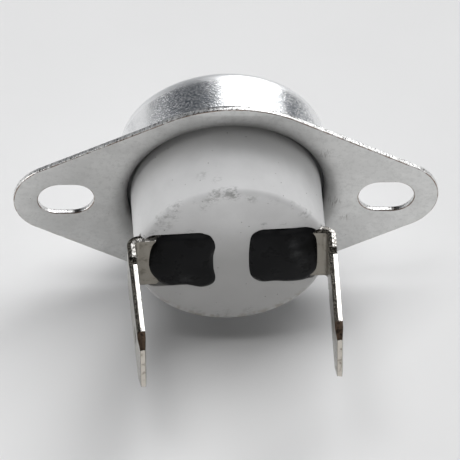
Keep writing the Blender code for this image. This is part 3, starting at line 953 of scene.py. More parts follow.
@dataclass(frozen=True)
class BlackResin:
    """Black potting resin, set glossy with a soft dull bloom in places and painted reflections in pale
    patches.

    Attributes:
        name: Name of the material.
        deep: Colour of the clear gloss.
        bloom: Colour of its faint bloom.
        painted_reflection_grey: Colour of the painted reflections in its pale patches.
        dust_and_painted_shade: Colour of the dust on it.
        pale: The pale patches, painted reflections of soft light on the gloss.
        wet: Patches that stay glossy black.
        cloud, clouded: The clouds, and where they bloom.
        painted_reflection_fade: How strongly the painted reflections of the pale patches show over the
            clouds.
        mote, dusted, dust_share: The motes of dust, where they show and how strongly.
        roughness: Roughness over the clouds.
        wave, waved: The slow waves of its surface and their relief.
        skin, skinned: The fine skin and its relief.
        specular: Specular level.
    """

    name: str = "black_resin"
    deep: Colour = (0.003, 0.003, 0.003)
    bloom: Colour = (0.010, 0.0102, 0.011)
    painted_reflection_grey: Colour = (0.16, 0.163, 0.168)
    dust_and_painted_shade: Colour = (0.25, 0.25, 0.25)
    pale: tuple[Spot, ...] = (
        Spot((6.0, 2.0, 16.0), 0.9, ragged=0.8), Spot((6.3, 0.6, 16.0), 1.1, ragged=0.8),
        Spot((6.8, -0.8, 16.0), 1.0, ragged=0.8), Spot((-4.5, -2.3, 16.0), 1.0, ragged=0.8))
    wet: tuple[Spot, ...] = (
        Spot((7.8, 1.4, 15.9), 1.5, ragged=0.12), Spot((-7.6, 2.2, 15.8), 1.3, ragged=0.12))
    cloud: Grain = Grain(1.6)
    clouded: Fade = Fade(0.15, 0.5)
    painted_reflection_fade: Fade = Fade(0.3, 0.7, 0.08, 0.38)
    mote: Grain = Grain(0.14, 2)
    dusted: Fade = Fade(0.70, 0.78)
    dust_share: float = 0.12
    roughness: Fade = Fade(0.35, 0.7, 0.26, 0.42)
    wave: Grain = Grain(1.1, 2)
    waved: Relief = Relief(0.06, 0.4)
    skin: Grain = Grain(0.2, 2)
    skinned: Relief = Relief(0.008, 0.4)
    specular: float = 0.055

    def make(self) -> bpy.types.Material:
        """Mix the finish.

        Returns:
            The material.
        """
        recipe = Recipe(self.name)
        cloud = recipe.noise(self.cloud)
        colour = recipe.tint(recipe.fade(cloud, self.clouded), self.deep, self.bloom)
        # Painted reflections: pale grey patches on the gloss, broken up by the clouds.
        painted_reflection_mask = recipe.fade(cloud, self.painted_reflection_fade)
        for spot in self.pale:
            colour = recipe.tint(recipe.times(recipe.spot(spot), painted_reflection_mask), colour, self.painted_reflection_grey)
        for spot in self.wet:
            colour = recipe.tint(recipe.spot(spot), colour, self.deep)
        motes = recipe.fade(recipe.noise(self.mote), self.dusted)
        colour = recipe.tint(recipe.times(motes, self.dust_share), colour, self.dust_and_painted_shade)
        normal = recipe.bump(recipe.noise(self.wave), self.waved)
        normal = recipe.bump(recipe.noise(self.skin), self.skinned, normal)
        return recipe.finish(colour, recipe.fade(cloud, self.roughness), normal,
                             specular=self.specular)


@dataclass(frozen=True)
class PlatedMetal:
    """A plated or cut face of a tab.

    Attributes:
        name: Name of the material.
        light: Colour of its clean parts.
        dark: Colour of its stains and pits.
        roughness: Roughness of its clean parts.
        torn: Depth of its roughness in millimetres.
        stained: Share of the face that is stained.
        stretch: How much denser its marks are along each axis.
        worked: Heights between which it goes from plain to roughened by bending, if it does.
        stain_size, grain_size: Widths of its stains and its grain in millimetres.
        unstained, stain_pull: Noise level of the first stain, and how far their share lowers it.
        stain_edge: How far below and above that level a stain's edge reaches.
        grained: How strongly the grain darkens it.
        stain_rough: Noise levels between which stains make it rougher.
        rougher: How much rougher they make it.
        torn_share: How much of the relief shows.
        pressed, pressings: The pressed blotches on the bends, and where they show.
        pressed_share, pressed_colour, pressed_relief: Their strength, colour and relief.
    """

    name: str
    light: Colour
    dark: Colour
    roughness: float
    torn: float
    stained: float
    stretch: Point3 = (1, 1, 1)
    worked: Fade | None = None
    stain_size: float = 0.7
    grain_size: float = 0.12
    unstained: float = 0.75
    stain_pull: float = 0.45
    stain_edge: Point2 = (0.06, 0.1)
    grained: Fade = Fade(0.55, 0.8, 0.0, 0.3)
    stain_rough: Point2 = (0.4, 0.7)
    rougher: float = 0.15
    torn_share: float = 0.6
    pressed: Grain = Grain(0.30, 5, 0.7)
    pressings: Fade = Fade(0.47, 0.56)
    pressed_share: float = 0.85
    pressed_colour: Colour = (0.07, 0.062, 0.052)
    pressed_relief: Relief = Relief(0.09, 0.8)

    def make(self) -> bpy.types.Material:
        """Mix the finish.

        Returns:
            The material.
        """
        recipe = Recipe(self.name)
        stain = recipe.noise(Grain(self.stain_size, detail=4, stretch=self.stretch))
        level = self.unstained - self.stain_pull * self.stained
        edge = Fade(level - self.stain_edge[0], level + self.stain_edge[1])
        colour = recipe.tint(recipe.fade(stain, edge), self.light, self.dark)
        grain = recipe.noise(Grain(self.grain_size, stretch=self.stretch))
        colour = recipe.tint(recipe.fade(grain, self.grained), colour, self.dark)
        roughness = Fade(*self.stain_rough, self.roughness, self.roughness + self.rougher)
        normal = recipe.bump(grain, Relief(self.torn, self.torn_share))
        if self.worked is not None:
            pressed = recipe.noise(self.pressed)
            here = recipe.fade(recipe.height, self.worked)
            share = recipe.times(here, recipe.fade(pressed, self.pressings), self.pressed_share)
            colour = recipe.tint(share, colour, self.pressed_colour)
            normal = recipe.bump(recipe.times(here, pressed), self.pressed_relief, normal)
        return recipe.finish(colour, recipe.fade(stain, roughness), normal, metallic=1.0)


@dataclass(frozen=True)
class InnerFinish:
    """Finish of a piece that is sealed inside the housing.

    Attributes:
        name: Name of the material.
        light, dark: The two tones of its clouds.
        roughness: Roughness of its smooth parts.
        metallic: 1 for a metal.
        cloud, clouded: The clouds, and where they turn dark.
        wear, worn: The wear, and where it roughens the piece.
        rougher: How much rougher it makes it.
        grain, grained: The grain and its relief.
    """

    name: str
    light: Colour
    dark: Colour
    roughness: float
    metallic: float = 1.0
    cloud: Grain = Grain(1.2, 4)
    clouded: Fade = Fade(0.35, 0.7)
    wear: Grain = Grain(0.4)
    worn: Point2 = (0.3, 0.7)
    rougher: float = 0.12
    grain: Grain = Grain(0.15, 2)
    grained: Relief = Relief(0.01, 0.4)

    def make(self) -> bpy.types.Material:
        """Mix the finish.

        Returns:
            The material.
        """
        recipe = Recipe(self.name)
        clouds = recipe.fade(recipe.noise(self.cloud), self.clouded)
        colour = recipe.tint(clouds, self.light, self.dark)
        worn = Fade(*self.worn, self.roughness, self.roughness + self.rougher)
        roughness = recipe.fade(recipe.noise(self.wear), worn)
        normal = recipe.bump(recipe.noise(self.grain), self.grained)
        return recipe.finish(colour, roughness, normal, metallic=self.metallic)


@dataclass(frozen=True)
class PaleFloor:
    """The pale floor, with a faint cloud and a fine grain.

    Attributes:
        name: Name of the material.
        light, shade: The two greys of its clouds.
        cloud, clouded: The clouds, and where they turn to shade.
        grain, grained: The grain and its relief.
        roughness, specular: Roughness and specular level.
    """

    name: str = "floor"
    light: Colour = (0.78, 0.78, 0.78)
    shade: Colour = (0.7683, 0.7683, 0.7683)
    cloud: Grain = Grain(14)
    clouded: Fade = Fade(0.3, 0.7)
    grain: Grain = Grain(0.35)
    grained: Relief = Relief(0.01, 0.3)
    roughness: float = 0.7
    specular: float = 0.2

    def make(self) -> bpy.types.Material:
        """Mix the finish.

        Returns:
            The material.
        """
        recipe = Recipe(self.name)
        clouds = recipe.fade(recipe.noise(self.cloud), self.clouded)
        colour = recipe.tint(clouds, self.light, self.shade)
        normal = recipe.bump(recipe.noise(self.grain), self.grained)
        return recipe.finish(colour, self.roughness, normal, specular=self.specular)


@dataclass
class MountingCap:
    """The deep-drawn cap: cup, rolled bead and the oval slotted flange, one sheet of metal.

    Attributes:
        radius, depth: Outer radius of the cup, and height of the flange's open face.
        sheet: Thickness of the sheet.
        corner, root: Outer radii of the cup's corner and of the bend into the flange.
        bead_width, bead_depth: Width and depth of the rolled bead.
        flange_rim: How far the flange's middle reaches past the cup.
        slot_inset: Distance from the root to a slot.
        slot_length, slot_width: Size of a slot.
        end_margin, side_margin: Sheet beyond a slot's end and beside it.
        roll_over: Radius that the punch leaves on a cut edge.
        roll_angles: Angles at which that radius is drawn.
        burr_share: The smaller radius on the burr side, as a share of it.
        segments: Facets round the cup.
        bead_facets, root_facets, outer_root_facets: Facets of the bead and of the root.
        corner_facets, inner_corner_facets: Facets of the corner, outside and inside.
        lobe_facets, flank_facets, slot_facets: Facets of the flange's and the slots' arcs.
    """

    radius: float = 10.0
    depth: float = field(default_factory=lambda: reach("mounting_cap", 1, upper=False))
    sheet: float = 0.5
    corner: float = 1.3
    root: float = 0.8
    bead_width: float = 1.6
    bead_depth: float = 0.6
    flange_rim: float = 2.5
    slot_inset: float = 2.0
    slot_length: float = 5.4
    slot_width: float = 4.0
    end_margin: float = 2.35
    side_margin: float = 2.6
    roll_over: float = 0.09
    roll_angles: tuple[int, ...] = (0, 30, 60, 90)
    burr_share: float = 0.4
    segments: int = 168
    bead_facets: int = 16
    root_facets: int = 14
    outer_root_facets: int = 8
    corner_facets: int = 12
    inner_corner_facets: int = 6
    lobe_facets: int = 40
    flank_facets: int = 56
    slot_facets: int = 24

    def dish(self, radius: float, upwards: bool) -> list[Point2]:
        """Return the points of the rolled bead.

        Args:
            radius: Radius of the wall that it is rolled into.
            upwards: Whether the points run up.

        Returns:
            The points, as distances from the axis and heights.
        """
        middle = self.depth - self.sheet - self.root - self.bead_width / 2
        points = []
        for index in range(self.bead_facets + 1):
            share = index / self.bead_facets
            rise = self.bead_width * (share - 0.5)
            dip = self.bead_depth * (1 - cos(2 * pi * share)) / 2
            points.append((radius - dip, middle + (rise if upwards else -rise)))
        return points

    @property
    def root_centre(self) -> Point2:
        """Return the centre of the bend into the flange."""
        return self.radius + self.root, self.depth - self.sheet - self.root

    @property
    def corner_centre(self) -> Point2:
        """Return the centre of the cup's corner."""
        return self.radius - self.corner, self.corner

    @property
    def slot_centre(self) -> float:
        """Return the distance from the axis to the middle of a slot."""
        return self.radius + self.root + self.slot_inset + self.slot_length / 2

    def inside(self) -> list[Point2]:
        """Return the inner section, from the flange's open face down to the floor.

        Returns:
            The points, as distances from the axis and heights.
        """
        points = arc(self.root_centre, self.root + self.sheet, 90, 180, self.root_facets)
        points += self.dish(self.radius - self.sheet, upwards=False)[1:]
        points += arc(self.corner_centre, self.corner - self.sheet, 0, -90, self.inner_corner_facets)
        return points

    def outside(self) -> list[Point2]:
        """Return the outer section, from the sensing face up to the flange's back.

        Returns:
            The points, as distances from the axis and heights.
        """
        points = arc(self.corner_centre, self.corner, -90, 0, self.corner_facets)
        points += self.dish(self.radius, upwards=True)
        points += arc(self.root_centre, self.root, 180, 90, self.outer_root_facets)[1:]
        return points

    def outline(self, inset: float) -> list[Point2]:
        """Return the flange's outline.

        Args:
            inset: How far it is moved inwards.

        Returns:
            The points in order.
        """
        middle = self.radius + self.flange_rim
        lobe = self.slot_width / 2 + self.side_margin
        centre = self.slot_centre + self.slot_length / 2 + self.end_margin - lobe
        lean = degrees(acos((middle - lobe) / centre))
        points = arc((centre, 0), lobe - inset, -lean, lean, self.lobe_facets)[:-1]
        points += arc((0, 0), middle - inset, lean, 180 - lean, self.flank_facets)
        points += arc((-centre, 0), lobe - inset, 180 - lean, 180 + lean, self.lobe_facets)[1:-1]
        points += arc((0, 0), middle - inset, 180 + lean, 360 - lean, self.flank_facets)
        return points

    def slot_outline(self, side: Side, grown: float) -> list[Point2]:
        """Return the outline of one slot.

        Args:
            side: The side that it is on.
            grown: How far it is grown outwards.

        Returns:
            The points in order.
        """
        half = (self.slot_length - self.slot_width) / 2
        middle = side * self.slot_centre
        radius = self.slot_width / 2 + grown
        return (arc((middle + half, 0), radius, -90, 90, self.slot_facets)
                + arc((middle - half, 0), radius, 90, 270, self.slot_facets))

    def rims(self, draft: Draft, shape: Callable[[float], list[Point2]]) -> tuple[list[int], list[int]]:
        """Draw a cut edge through the sheet, rounded where the punch bent it.

        Args:
            draft: The mesh in the making.
            shape: Returns the outline for a given setback of the edge.

        Returns:
            The rings that the open face and the back face start from.
        """
        levels = []
        for angle in self.roll_angles:
            setback = self.roll_over * (1 - sin(radians(angle)))
            levels.append((setback, self.depth - self.roll_over * (1 - cos(radians(angle)))))
        bottom, burr = self.depth - self.sheet, self.roll_over * self.burr_share
        levels += [(0.0, bottom + burr), (burr, bottom)]
        rings = [draft.loop((x, y, height) for x, y in shape(setback)) for setback, height in levels]
        draft.bands(rings, CapFace.EDGE)
        return rings[0], rings[-1]

    def build(self, wall: bpy.types.Material, sheet: bpy.types.Material,
              edge: bpy.types.Material) -> bpy.types.Object:
        """Build the cap and put it in its node's place.

        Args:
            wall: Finish of the cup.
            sheet: Finish of the flange.
            edge: Finish of the cut edges.

        Returns:
            The cap.
        """
        draft = Draft()
        inner = [draft.loop(turned_ring(r, h, self.segments)) for r, h in self.inside()]
        draft.bands(inner[:self.root_facets + 1], CapFace.SHEET)
        draft.bands(inner[self.root_facets:], CapFace.WALL)
        draft.fan(inner[-1], (0, 0, self.sheet), CapFace.WALL)
        outer = [draft.loop(turned_ring(r, h, self.segments)) for r, h in self.outside()]
        draft.bands(outer, CapFace.WALL)
        draft.fan(outer[0], (0, 0, 0), CapFace.WALL)
        edges = [self.rims(draft, self.outline)]
        edges += [self.rims(draft, partial(self.slot_outline, side)) for side in Side]
        draft.lid([front for front, _ in edges] + [inner[0]], CapFace.SHEET)
        draft.lid([back for _, back in edges] + [outer[-1]], CapFace.SHEET)
        piece = draft.build("drawn_cap", [wall, sheet, edge])
        install(piece, "mounting_cap", Body.HOUSING, turned=False)
        return piece


@dataclass
class CeramicBase:
    """The ceramic body with its pockets, strip channels and rivet holes.

    Attributes:
        radius: Radius of the body.
        end_face, mouth: Heights of its end face and of its open mouth.
        wall, end_wall: Thickness of its wall, and of its end under the pockets.
        fillet: Radius round the end face.
        pocket_depth, pocket_width, pocket_corner: Size of a pocket.
        pocket_inner: Distance from the axis to a pocket.
        pocket_rim: Ceramic left outside a pocket.
        channel_width, channel_floor: Width and floor of a strip's channel.
        rivet_offset, hole_radius: Place and radius of a rivet hole.
        groove_middle, groove_width, groove_depth: The groove that the bead grips.
        overshoot: How far the cutters reach past what they cut.
        sharp_angle: Angle from which an edge stays sharp.
        segments: Facets round the body.
        fillet_facets, groove_facets, corner_facets, hole_facets: Facets of its curves.
    """

    radius: float = 9.2
    end_face: float = field(default_factory=lambda: reach("ceramic_base", 1, upper=False))
    mouth: float = field(default_factory=lambda: reach("ceramic_base", 1))
    wall: float = 1.9
    end_wall: float = 2.1
    fillet: float = 0.6
    pocket_depth: float = 2.05
    pocket_width: float = 7.4
    pocket_corner: float = 1.0
    pocket_inner: float = 2.115
    pocket_rim: float = 0.9
    channel_width: float = 6.4
    channel_floor: float = 14.55
    rivet_offset: float = 4.615
    hole_radius: float = 1.05
    groove_middle: float = 5.7
    groove_width: float = 2.2
    groove_depth: float = 0.6
    overshoot: float = 1.0
    sharp_angle: float = 40
    segments: int = 168
    fillet_facets: int = 10
    groove_facets: int = 14
    corner_facets: int = 6
    hole_facets: int = 24

    def section(self) -> list[Point2]:
        """Return the section from the end face round to the cavity's ceiling.

        Returns:
            The points, as distances from the axis and heights.
        """
        ceiling = self.end_face - self.pocket_depth - self.end_wall
        fillet = (self.radius - self.fillet, self.end_face - self.fillet)
        points = arc(fillet, self.fillet, 90, 0, self.fillet_facets)
        for index in range(self.groove_facets + 1):
            share = index / self.groove_facets
            dip = self.groove_depth * (1 - cos(2 * pi * share)) / 2
            points.append((self.radius - dip, self.groove_middle - self.groove_width * (share - 0.5)))
        points += [(self.radius, self.mouth), (self.radius - self.wall, self.mouth),
                   (self.radius - self.wall, ceiling)]
        return points

    def cutters(self, side: Side) -> list[bpy.types.Object]:
        """Return what is cut out of one side: its pocket, strip channel and rivet hole.

        Args:
            side: The side.

        Returns:
            The cutters.
        """
        floor, over = self.end_face - self.pocket_depth, self.end_face + self.overshoot
        corner = self.pocket_corner
        low, high = sorted((side * self.pocket_inner, side * (self.radius - self.pocket_rim)))
        left, right, half = low + corner, high - corner, self.pocket_width / 2 - corner
        outline = []
        for quarter, centre in enumerate(((right, half), (left, half), (left, -half), (right, -half))):
            outline += arc(centre, corner, 90 * quarter, 90 * quarter + 90, self.corner_facets)
        pocket = prism("pocket_" + side.label, outline, floor, over)
        low, high = sorted((side * (self.radius - self.pocket_rim - corner),
                            side * (self.radius + self.overshoot)))
        half = self.channel_width / 2
        outline = [(low, -half), (high, -half), (high, half), (low, half)]
        channel = prism("channel_" + side.label, outline, self.channel_floor, over)
        outline = circle((side * self.rivet_offset, 0), self.hole_radius, self.hole_facets)
        hole = prism("hole_" + side.label, outline, floor - self.end_wall - self.overshoot,
                     floor + self.overshoot)
        return [pocket, channel, hole]

    def build(self, finish: bpy.types.Material) -> bpy.types.Object:
        """Build the ceramic and put it in its node's place.

        Args:
            finish: Its finish.

        Returns:
            The ceramic.
        """
        draft = Draft()
        rings = [draft.loop(turned_ring(r, h, self.segments)) for r, h in self.section()]
        draft.bands(rings)
        draft.lid([rings[0]])
        draft.lid([rings[-1]])
        piece = draft.build("ceramic_body", [finish])
        carve(piece, [cutter for side in Side for cutter in self.cutters(side)])
        piece.data.set_sharp_from_angle(angle=radians(self.sharp_angle))
        install(piece, "ceramic_base", Body.HOUSING)
        return piece


@dataclass
class TabTerminal:
    """One push-on tab, bent up from strip, with the marks of its punch along its edges.

    Attributes:
        side: The side that it is on.
        lean: How far the blade leans inwards, in radians.
        width, thickness: Width and thickness of the strip.
        seat_radius: Distance from the axis to the blade's inner side, at the bend.
        end_face: Height of the ceramic's end face.
        tip: Height of the tip.
        proud: How far the strip stands over the end face.
        bend: Inner radius of the bend.
        foot_level, foot_end: Height of the foot's underside, and where it ends.
        joggle_start, joggle_run: Where the joggle starts, and its length.
        taper_length, taper: Length and depth of the taper at each edge.
        thin_length, tip_thickness: Length of the thinned end, and its thickness.
        notch_rise, notch_radius: Height of the notches over the end face, and their radius.
        hole_radius, hole_from_tip: The latch hole.
        foot_hole_radius, foot_hole_at: The rivet's hole in the foot.
        edge_round, round_middle: Radius of the edges, and where its middle point lies in it.
        end_round: How far the very tip is set back all round.
        torn_setback, torn_share, torn_step: The torn half of a sheared edge: how far it lies
            back, its share of the thickness and the width of its step.
        torn_points: Number of points that an edge has up to that step.
        notch_share: Share of a notch's radius that counts as torn.
        slack: Tolerance in height.
        latch_reach: How far the latch hole's cutter reaches to each side.
        rivet_reach: How far the rivet hole's cutter reaches below and above the foot.
        sharp_angle: Angle from which an edge stays sharp.
        bend_facets, notch_facets, shank_steps: Facets of the bend, the notches and the shank.
        latch_facets, rivet_facets: Facets of the two holes.
    """

    side: Side
    lean: float
    width: float = 6.3
    thickness: float = 0.8
    seat_radius: float = 9.2
    end_face: float = field(default_factory=lambda: reach("ceramic_base", 1, upper=False))
    tip: float = field(default_factory=lambda: reach("terminal_left", 1, upper=False))
    proud: float = 0.25
    bend: float = 0.4
    foot_level: float = 13.65
    foot_end: float = 2.615
    joggle_start: float = 6.415
    joggle_run: float = 1.0
    taper_length: float = 1.95
    taper: float = 0.45
    thin_length: float = 1.3
    tip_thickness: float = 0.5
    notch_rise: float = 2.6
    notch_radius: float = 0.5
    hole_radius: float = 0.85
    hole_from_tip: float = 4.2
    foot_hole_radius: float = 1.05
    foot_hole_at: float = 4.615
    edge_round: float = 0.07
    round_middle: float = 0.3
    end_round: float = 0.05
    torn_setback: float = 0.05
    torn_share: float = 0.48
    torn_step: float = 0.02
    torn_points: int = 4
    notch_share: float = 0.95
    slack: float = 0.01
    latch_reach: float = 2.0
    rivet_reach: Point2 = (1.0, 0.3)
    sharp_angle: float = 50
    bend_facets: int = 14
    notch_facets: int = 12
    shank_steps: int = 6
    latch_facets: int = 36
    rivet_facets: int = 24

    @property
    def notch(self) -> float:
        """Return the height of the notches' middle."""
        return self.end_face + self.notch_rise

    def half_width(self, height: float) -> float:
        """Return half the strip's width: full, notched or tapered.

        Args:
            height: The height.

        Returns:
            Half the width there.
        """
        half = self.width / 2
        from_notch = abs(height - self.end_face - self.notch_rise)
        if from_notch < self.notch_radius:
            return half - sqrt(self.notch_radius ** 2 - from_notch ** 2)
        past = height - (self.tip - self.taper_length)
        return half - self.taper * max(0.0, past) / self.taper_length

    def half_thickness(self, height: float) -> float:
        """Return half the strip's thickness at a height."""
        past = max(0.0, height - (self.tip - self.thin_length)) / self.thin_length
        return (self.thickness - (self.thickness - self.tip_thickness) * past) / 2

    def stations(self) -> list[tuple[Point2, float]]:
        """Return the middle line of the strip, from the foot to the tip.

        Returns:
            Its points, each with the direction that the strip runs in there.
        """
        half = self.thickness / 2
        strip = self.end_face + self.proud - half
        foot = self.foot_level + half
        slope = Vector((self.joggle_run, strip - foot))
        along = Vector((1, 0)).angle_signed(slope) * -1
        stations = [((self.foot_end, foot), 0.0), ((self.joggle_start, foot), along / 2),
                    ((self.joggle_start + self.joggle_run, strip), along / 2)]
        centre = (self.seat_radius - self.bend, self.end_face + self.proud + self.bend)
        turn = 90 - degrees(self.lean)
        bend = arc(centre, self.bend + half, -90, turn - 90, self.bend_facets)
        for index, point in enumerate(bend):
            stations.append((point, radians(turn * index / self.bend_facets)))
        start_x, start_height = bend[-1]
        heights = [self.notch - self.notch_radius * cos(pi * k / self.notch_facets)
                   for k in range(self.notch_facets + 1)]
        plain = self.notch + self.notch_radius
        taper = self.tip - self.taper_length
        heights += [plain + (taper - plain) * k / self.shank_steps
                    for k in range(1, self.shank_steps + 1)]
        heights += [self.tip - self.thin_length, self.tip - self.end_round, self.tip]
        for height in heights:
            inwards = (height - start_height) * tan(self.lean)
            stations.append(((start_x - inwards, height), pi / 2 + self.lean))
        return stations

    def ring(self, at: Point2, angle: float, last: bool) -> tuple[list[Point3], int]:
        """Return the section of the strip at a station, and how many points each edge has.

        Args:
            at: The middle of the strip, as its distance from the axis and height.
            angle: The direction that the strip runs in.
            last: Whether this is the rounded end of the tip.

        Returns:
            The points of the section, and the number of points on one edge.
        """
        shrink = self.end_round if last else 0.0
        width = self.half_width(at[1]) - shrink
        thick = self.half_thickness(at[1]) - shrink
        small, middle = self.edge_round, self.round_middle * self.edge_round
        step = self.torn_share * 2 * thick - thick
        low = width - self.torn_setback
        edge = [(-thick, low - small), (-thick + middle, low - middle), (-thick + small, low),
                (step - self.torn_step, low), (step, width), (thick - small, width),
                (thick - middle, width - middle), (thick, width - small)]
        section = edge + [(across, -width) for across, width in reversed(edge)]
        points = []
        for across, width in section:
            out = at[0] + across * self.side * sin(angle)
            up = at[1] - across * self.side * cos(angle)
            points.append((self.side * out, width, up))
        return points, len(edge)

    def slot(self, number: int, edge: int, height: float) -> TabFace:
        """Return the face slot for the quad that starts at a point of the section.

        Args:
            number: Number of the point.
            edge: Number of points on one edge.
            height: Height of the quad.

        Returns:
            The face slot.
        """
        place = number % edge
        if place == edge - 1:
            return TabFace.BLADE if height > self.end_face + self.notch_rise / 2 else TabFace.STRIP
        if height > self.tip - self.taper_length + self.slack:
            return TabFace.PAINTED_SHADE_CHAMFER
        if number > edge:
            place = edge - 2 - place
        from_notch = abs(height - self.end_face - self.notch_rise)
        notched = from_notch < self.notch_share * self.notch_radius
        return TabFace.TORN if place < self.torn_points or notched else TabFace.BURNISHED

    def cutters(self) -> list[bpy.types.Object]:
        """Return what is punched out of the strip: the latch hole and the rivet's hole.

        Returns:
            The cutters.
        """
        outline = circle((0, self.tip - self.hole_from_tip), self.hole_radius, self.latch_facets)
        latch = prism("latch", outline, self.side * (self.seat_radius - self.latch_reach),
                      self.side * (self.seat_radius + self.latch_reach))
        lay_over(latch)
        outline = circle((self.side * self.foot_hole_at, 0), self.foot_hole_radius, self.rivet_facets)
        below, above = self.rivet_reach
        rivet = prism("rivet", outline, self.foot_level - below,
                      self.foot_level + self.thickness + above)
        return [latch, rivet]

    def build(self, finishes: Sequence[bpy.types.Material]) -> bpy.types.Object:
        """Build the tab and put it in its node's place.

        Args:
            finishes: Its finishes, in the order of its face slots.

        Returns:
            The tab.
        """
        draft = Draft()
        stations = self.stations()
        rings = []
        for number, (at, angle) in enumerate(stations):
            points, edge = self.ring(at, angle, number == len(stations) - 1)
            rings.append(draft.loop(points))
        for (at, _), first, second in zip(stations[1:], rings, rings[1:]):
            for place in range(len(first)):
                after = (place + 1) % len(first)
                draft.face((first[place], first[after], second[after], second[place]),
                           self.slot(place, edge, at[1]))
        draft.face(rings[0][::-1], TabFace.STRIP)
        draft.face(rings[-1], TabFace.TIP)
        piece = draft.build("tab_" + self.side.label, finishes)
        carve(piece, self.cutters())
        piece.data.set_sharp_from_angle(angle=radians(self.sharp_angle))
        install(piece, "terminal_" + self.side.label, Body.HOUSING)
        return piece


@dataclass
class ResinSeal:
    """The black resin over one rivet: a shallow dome with a wandering rim.

    Attributes:
        side: The side that it is on.
        rim: Points of the rim on the end face, distances outwards and upwards.
        middle: The point that the dome rises to.
        end_face: Height of the ceramic's end face.
        rise: Height of the dome.
        rim_rise, rim_share: Height of its rounded rim, and the rim's share of the way in.
        swell, swell_waves: Height of its slow waves, and how they run outwards and upwards.
        floor_gap: Gap under it.
        rings: Number of rings from the rim to the middle.
        crowding: How closely they lie near the rim.
        rim_facets: Facets between two points of the rim.
    """

    side: Side
    rim: Sequence[Point2]
    middle: Point2
    end_face: float = field(default_factory=lambda: reach("ceramic_base", 1, upper=False))
    rise: float = 0.72
    rim_rise: float = 0.3
    rim_share: float = 0.16
    swell: float = 0.05
    swell_waves: Point2 = (1.3, 0.7)
    floor_gap: float = 0.02
    rings: int = 22
    crowding: float = 1.7
    rim_facets: int = 6

    def level(self, share: float, x: float, y: float) -> float:
        """Return the height of the resin above the end face.

        Args:
            share: 0 on the rim and 1 at the middle.
            x: Distance outwards.
            y: Distance upwards.

        Returns:
            The height.
        """
        shoulder = sin(pi / 2 * min(1.0, share / self.rim_share))
        dome = sin(pi / 2 * share)
        outwards, upwards = self.swell_waves
        swell = self.swell * sin(outwards * x + upwards * y) * share
        return self.rim_rise * shoulder + (self.rise - self.rim_rise) * dome + swell

    def build(self, finish: bpy.types.Material) -> bpy.types.Object:
        """Build the resin and put it in its node's place.

        Args:
            finish: Its finish.

        Returns:
            The resin.
        """
        draft = Draft()
        outline = closed_curve(self.rim, self.rim_facets)
        cx, cy = self.middle
        rings = [draft.loop((self.side * x, y, self.end_face + self.floor_gap) for x, y in outline)]
        draft.lid([rings[0]])
        for number in range(1, self.rings):
            share = (number / self.rings) ** self.crowding
            points = []
            for x, y in outline:
                px, py = x + (cx - x) * share, y + (cy - y) * share
                points.append((self.side * px, py, self.end_face + self.level(share, px, py)))
            rings.append(draft.loop(points))
        draft.bands(rings)
        draft.fan(rings[-1], (self.side * cx, cy, self.end_face + self.level(1.0, cx, cy)))
        piece = draft.build("resin_" + self.side.label, [finish])
        install(piece, "seal_" + self.side.label, Body.HOUSING)
        return piece


@dataclass
class InnerWorks:
    """The pieces sealed inside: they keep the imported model's shapes and get their finishes.

    Attributes:
        steatite: Finish of the pin and its guide.
        bimetal: Finish of the disc.
        copper: Finish of the contact arm.
        brass: Finish of the bracket, the plate and the rivets.
        silver: Finish of the contacts.
    """

    steatite: InnerFinish = InnerFinish("steatite", (0.80, 0.79, 0.76), (0.70, 0.69, 0.66), 0.5, 0.0)
    bimetal: InnerFinish = InnerFinish("bimetal", (0.62, 0.58, 0.52), (0.48, 0.45, 0.42), 0.3)
    copper: InnerFinish = InnerFinish("spring_copper", (0.78, 0.48, 0.30), (0.56, 0.33, 0.20), 0.28)
    brass: InnerFinish = InnerFinish("brass", (0.78, 0.63, 0.34), (0.58, 0.46, 0.26), 0.32)
    silver: InnerFinish = InnerFinish("silver", (0.88, 0.87, 0.84), (0.66, 0.64, 0.60), 0.25)

    def dress(self) -> None:
        """Give every inner node its finish."""
        plan = {self.bimetal: ("bimetal_disc",), self.steatite: ("pin_guide", "push_pin"),
                self.copper: ("contact_arm",), self.silver: ("moving_contact", "fixed_contact"),
                self.brass: ("arm_backing_plate", "contact_bracket", "rivet_left", "rivet_right")}
        for finish, nodes in plan.items():
            material = finish.make()
            for node in nodes:
                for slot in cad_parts[node].material_slots:
                    slot.material = material
                LOG.info("%s: dressed in %s", node, finish.name)


@dataclass(frozen=True)
class SoftBox:
    """A soft box that faces the part.

    Attributes:
        name: Its name.
        over: What it lights.
        toward: Direction from the part to it.
        distance: Distance in metres.
        size: Width and height in metres.
        power: Power in watts.
        spin: Turn about the line to the part, in degrees.
    """

    name: str
    over: Lit
    toward: Point3
    distance: float
    size: Point2
    power: float
    spin: float = 0.0


def facing(back: Vector, spin: float) -> Quaternion:
    """Return the rotation of a camera or lamp that looks back at the part.

    Args:
        back: Direction from the part to it.
        spin: Its turn about that line, in degrees.

    Returns:
        The rotation.
    """
    return back.to_track_quat("Z", "Y") @ Quaternion((0, 0, 1), radians(spin))


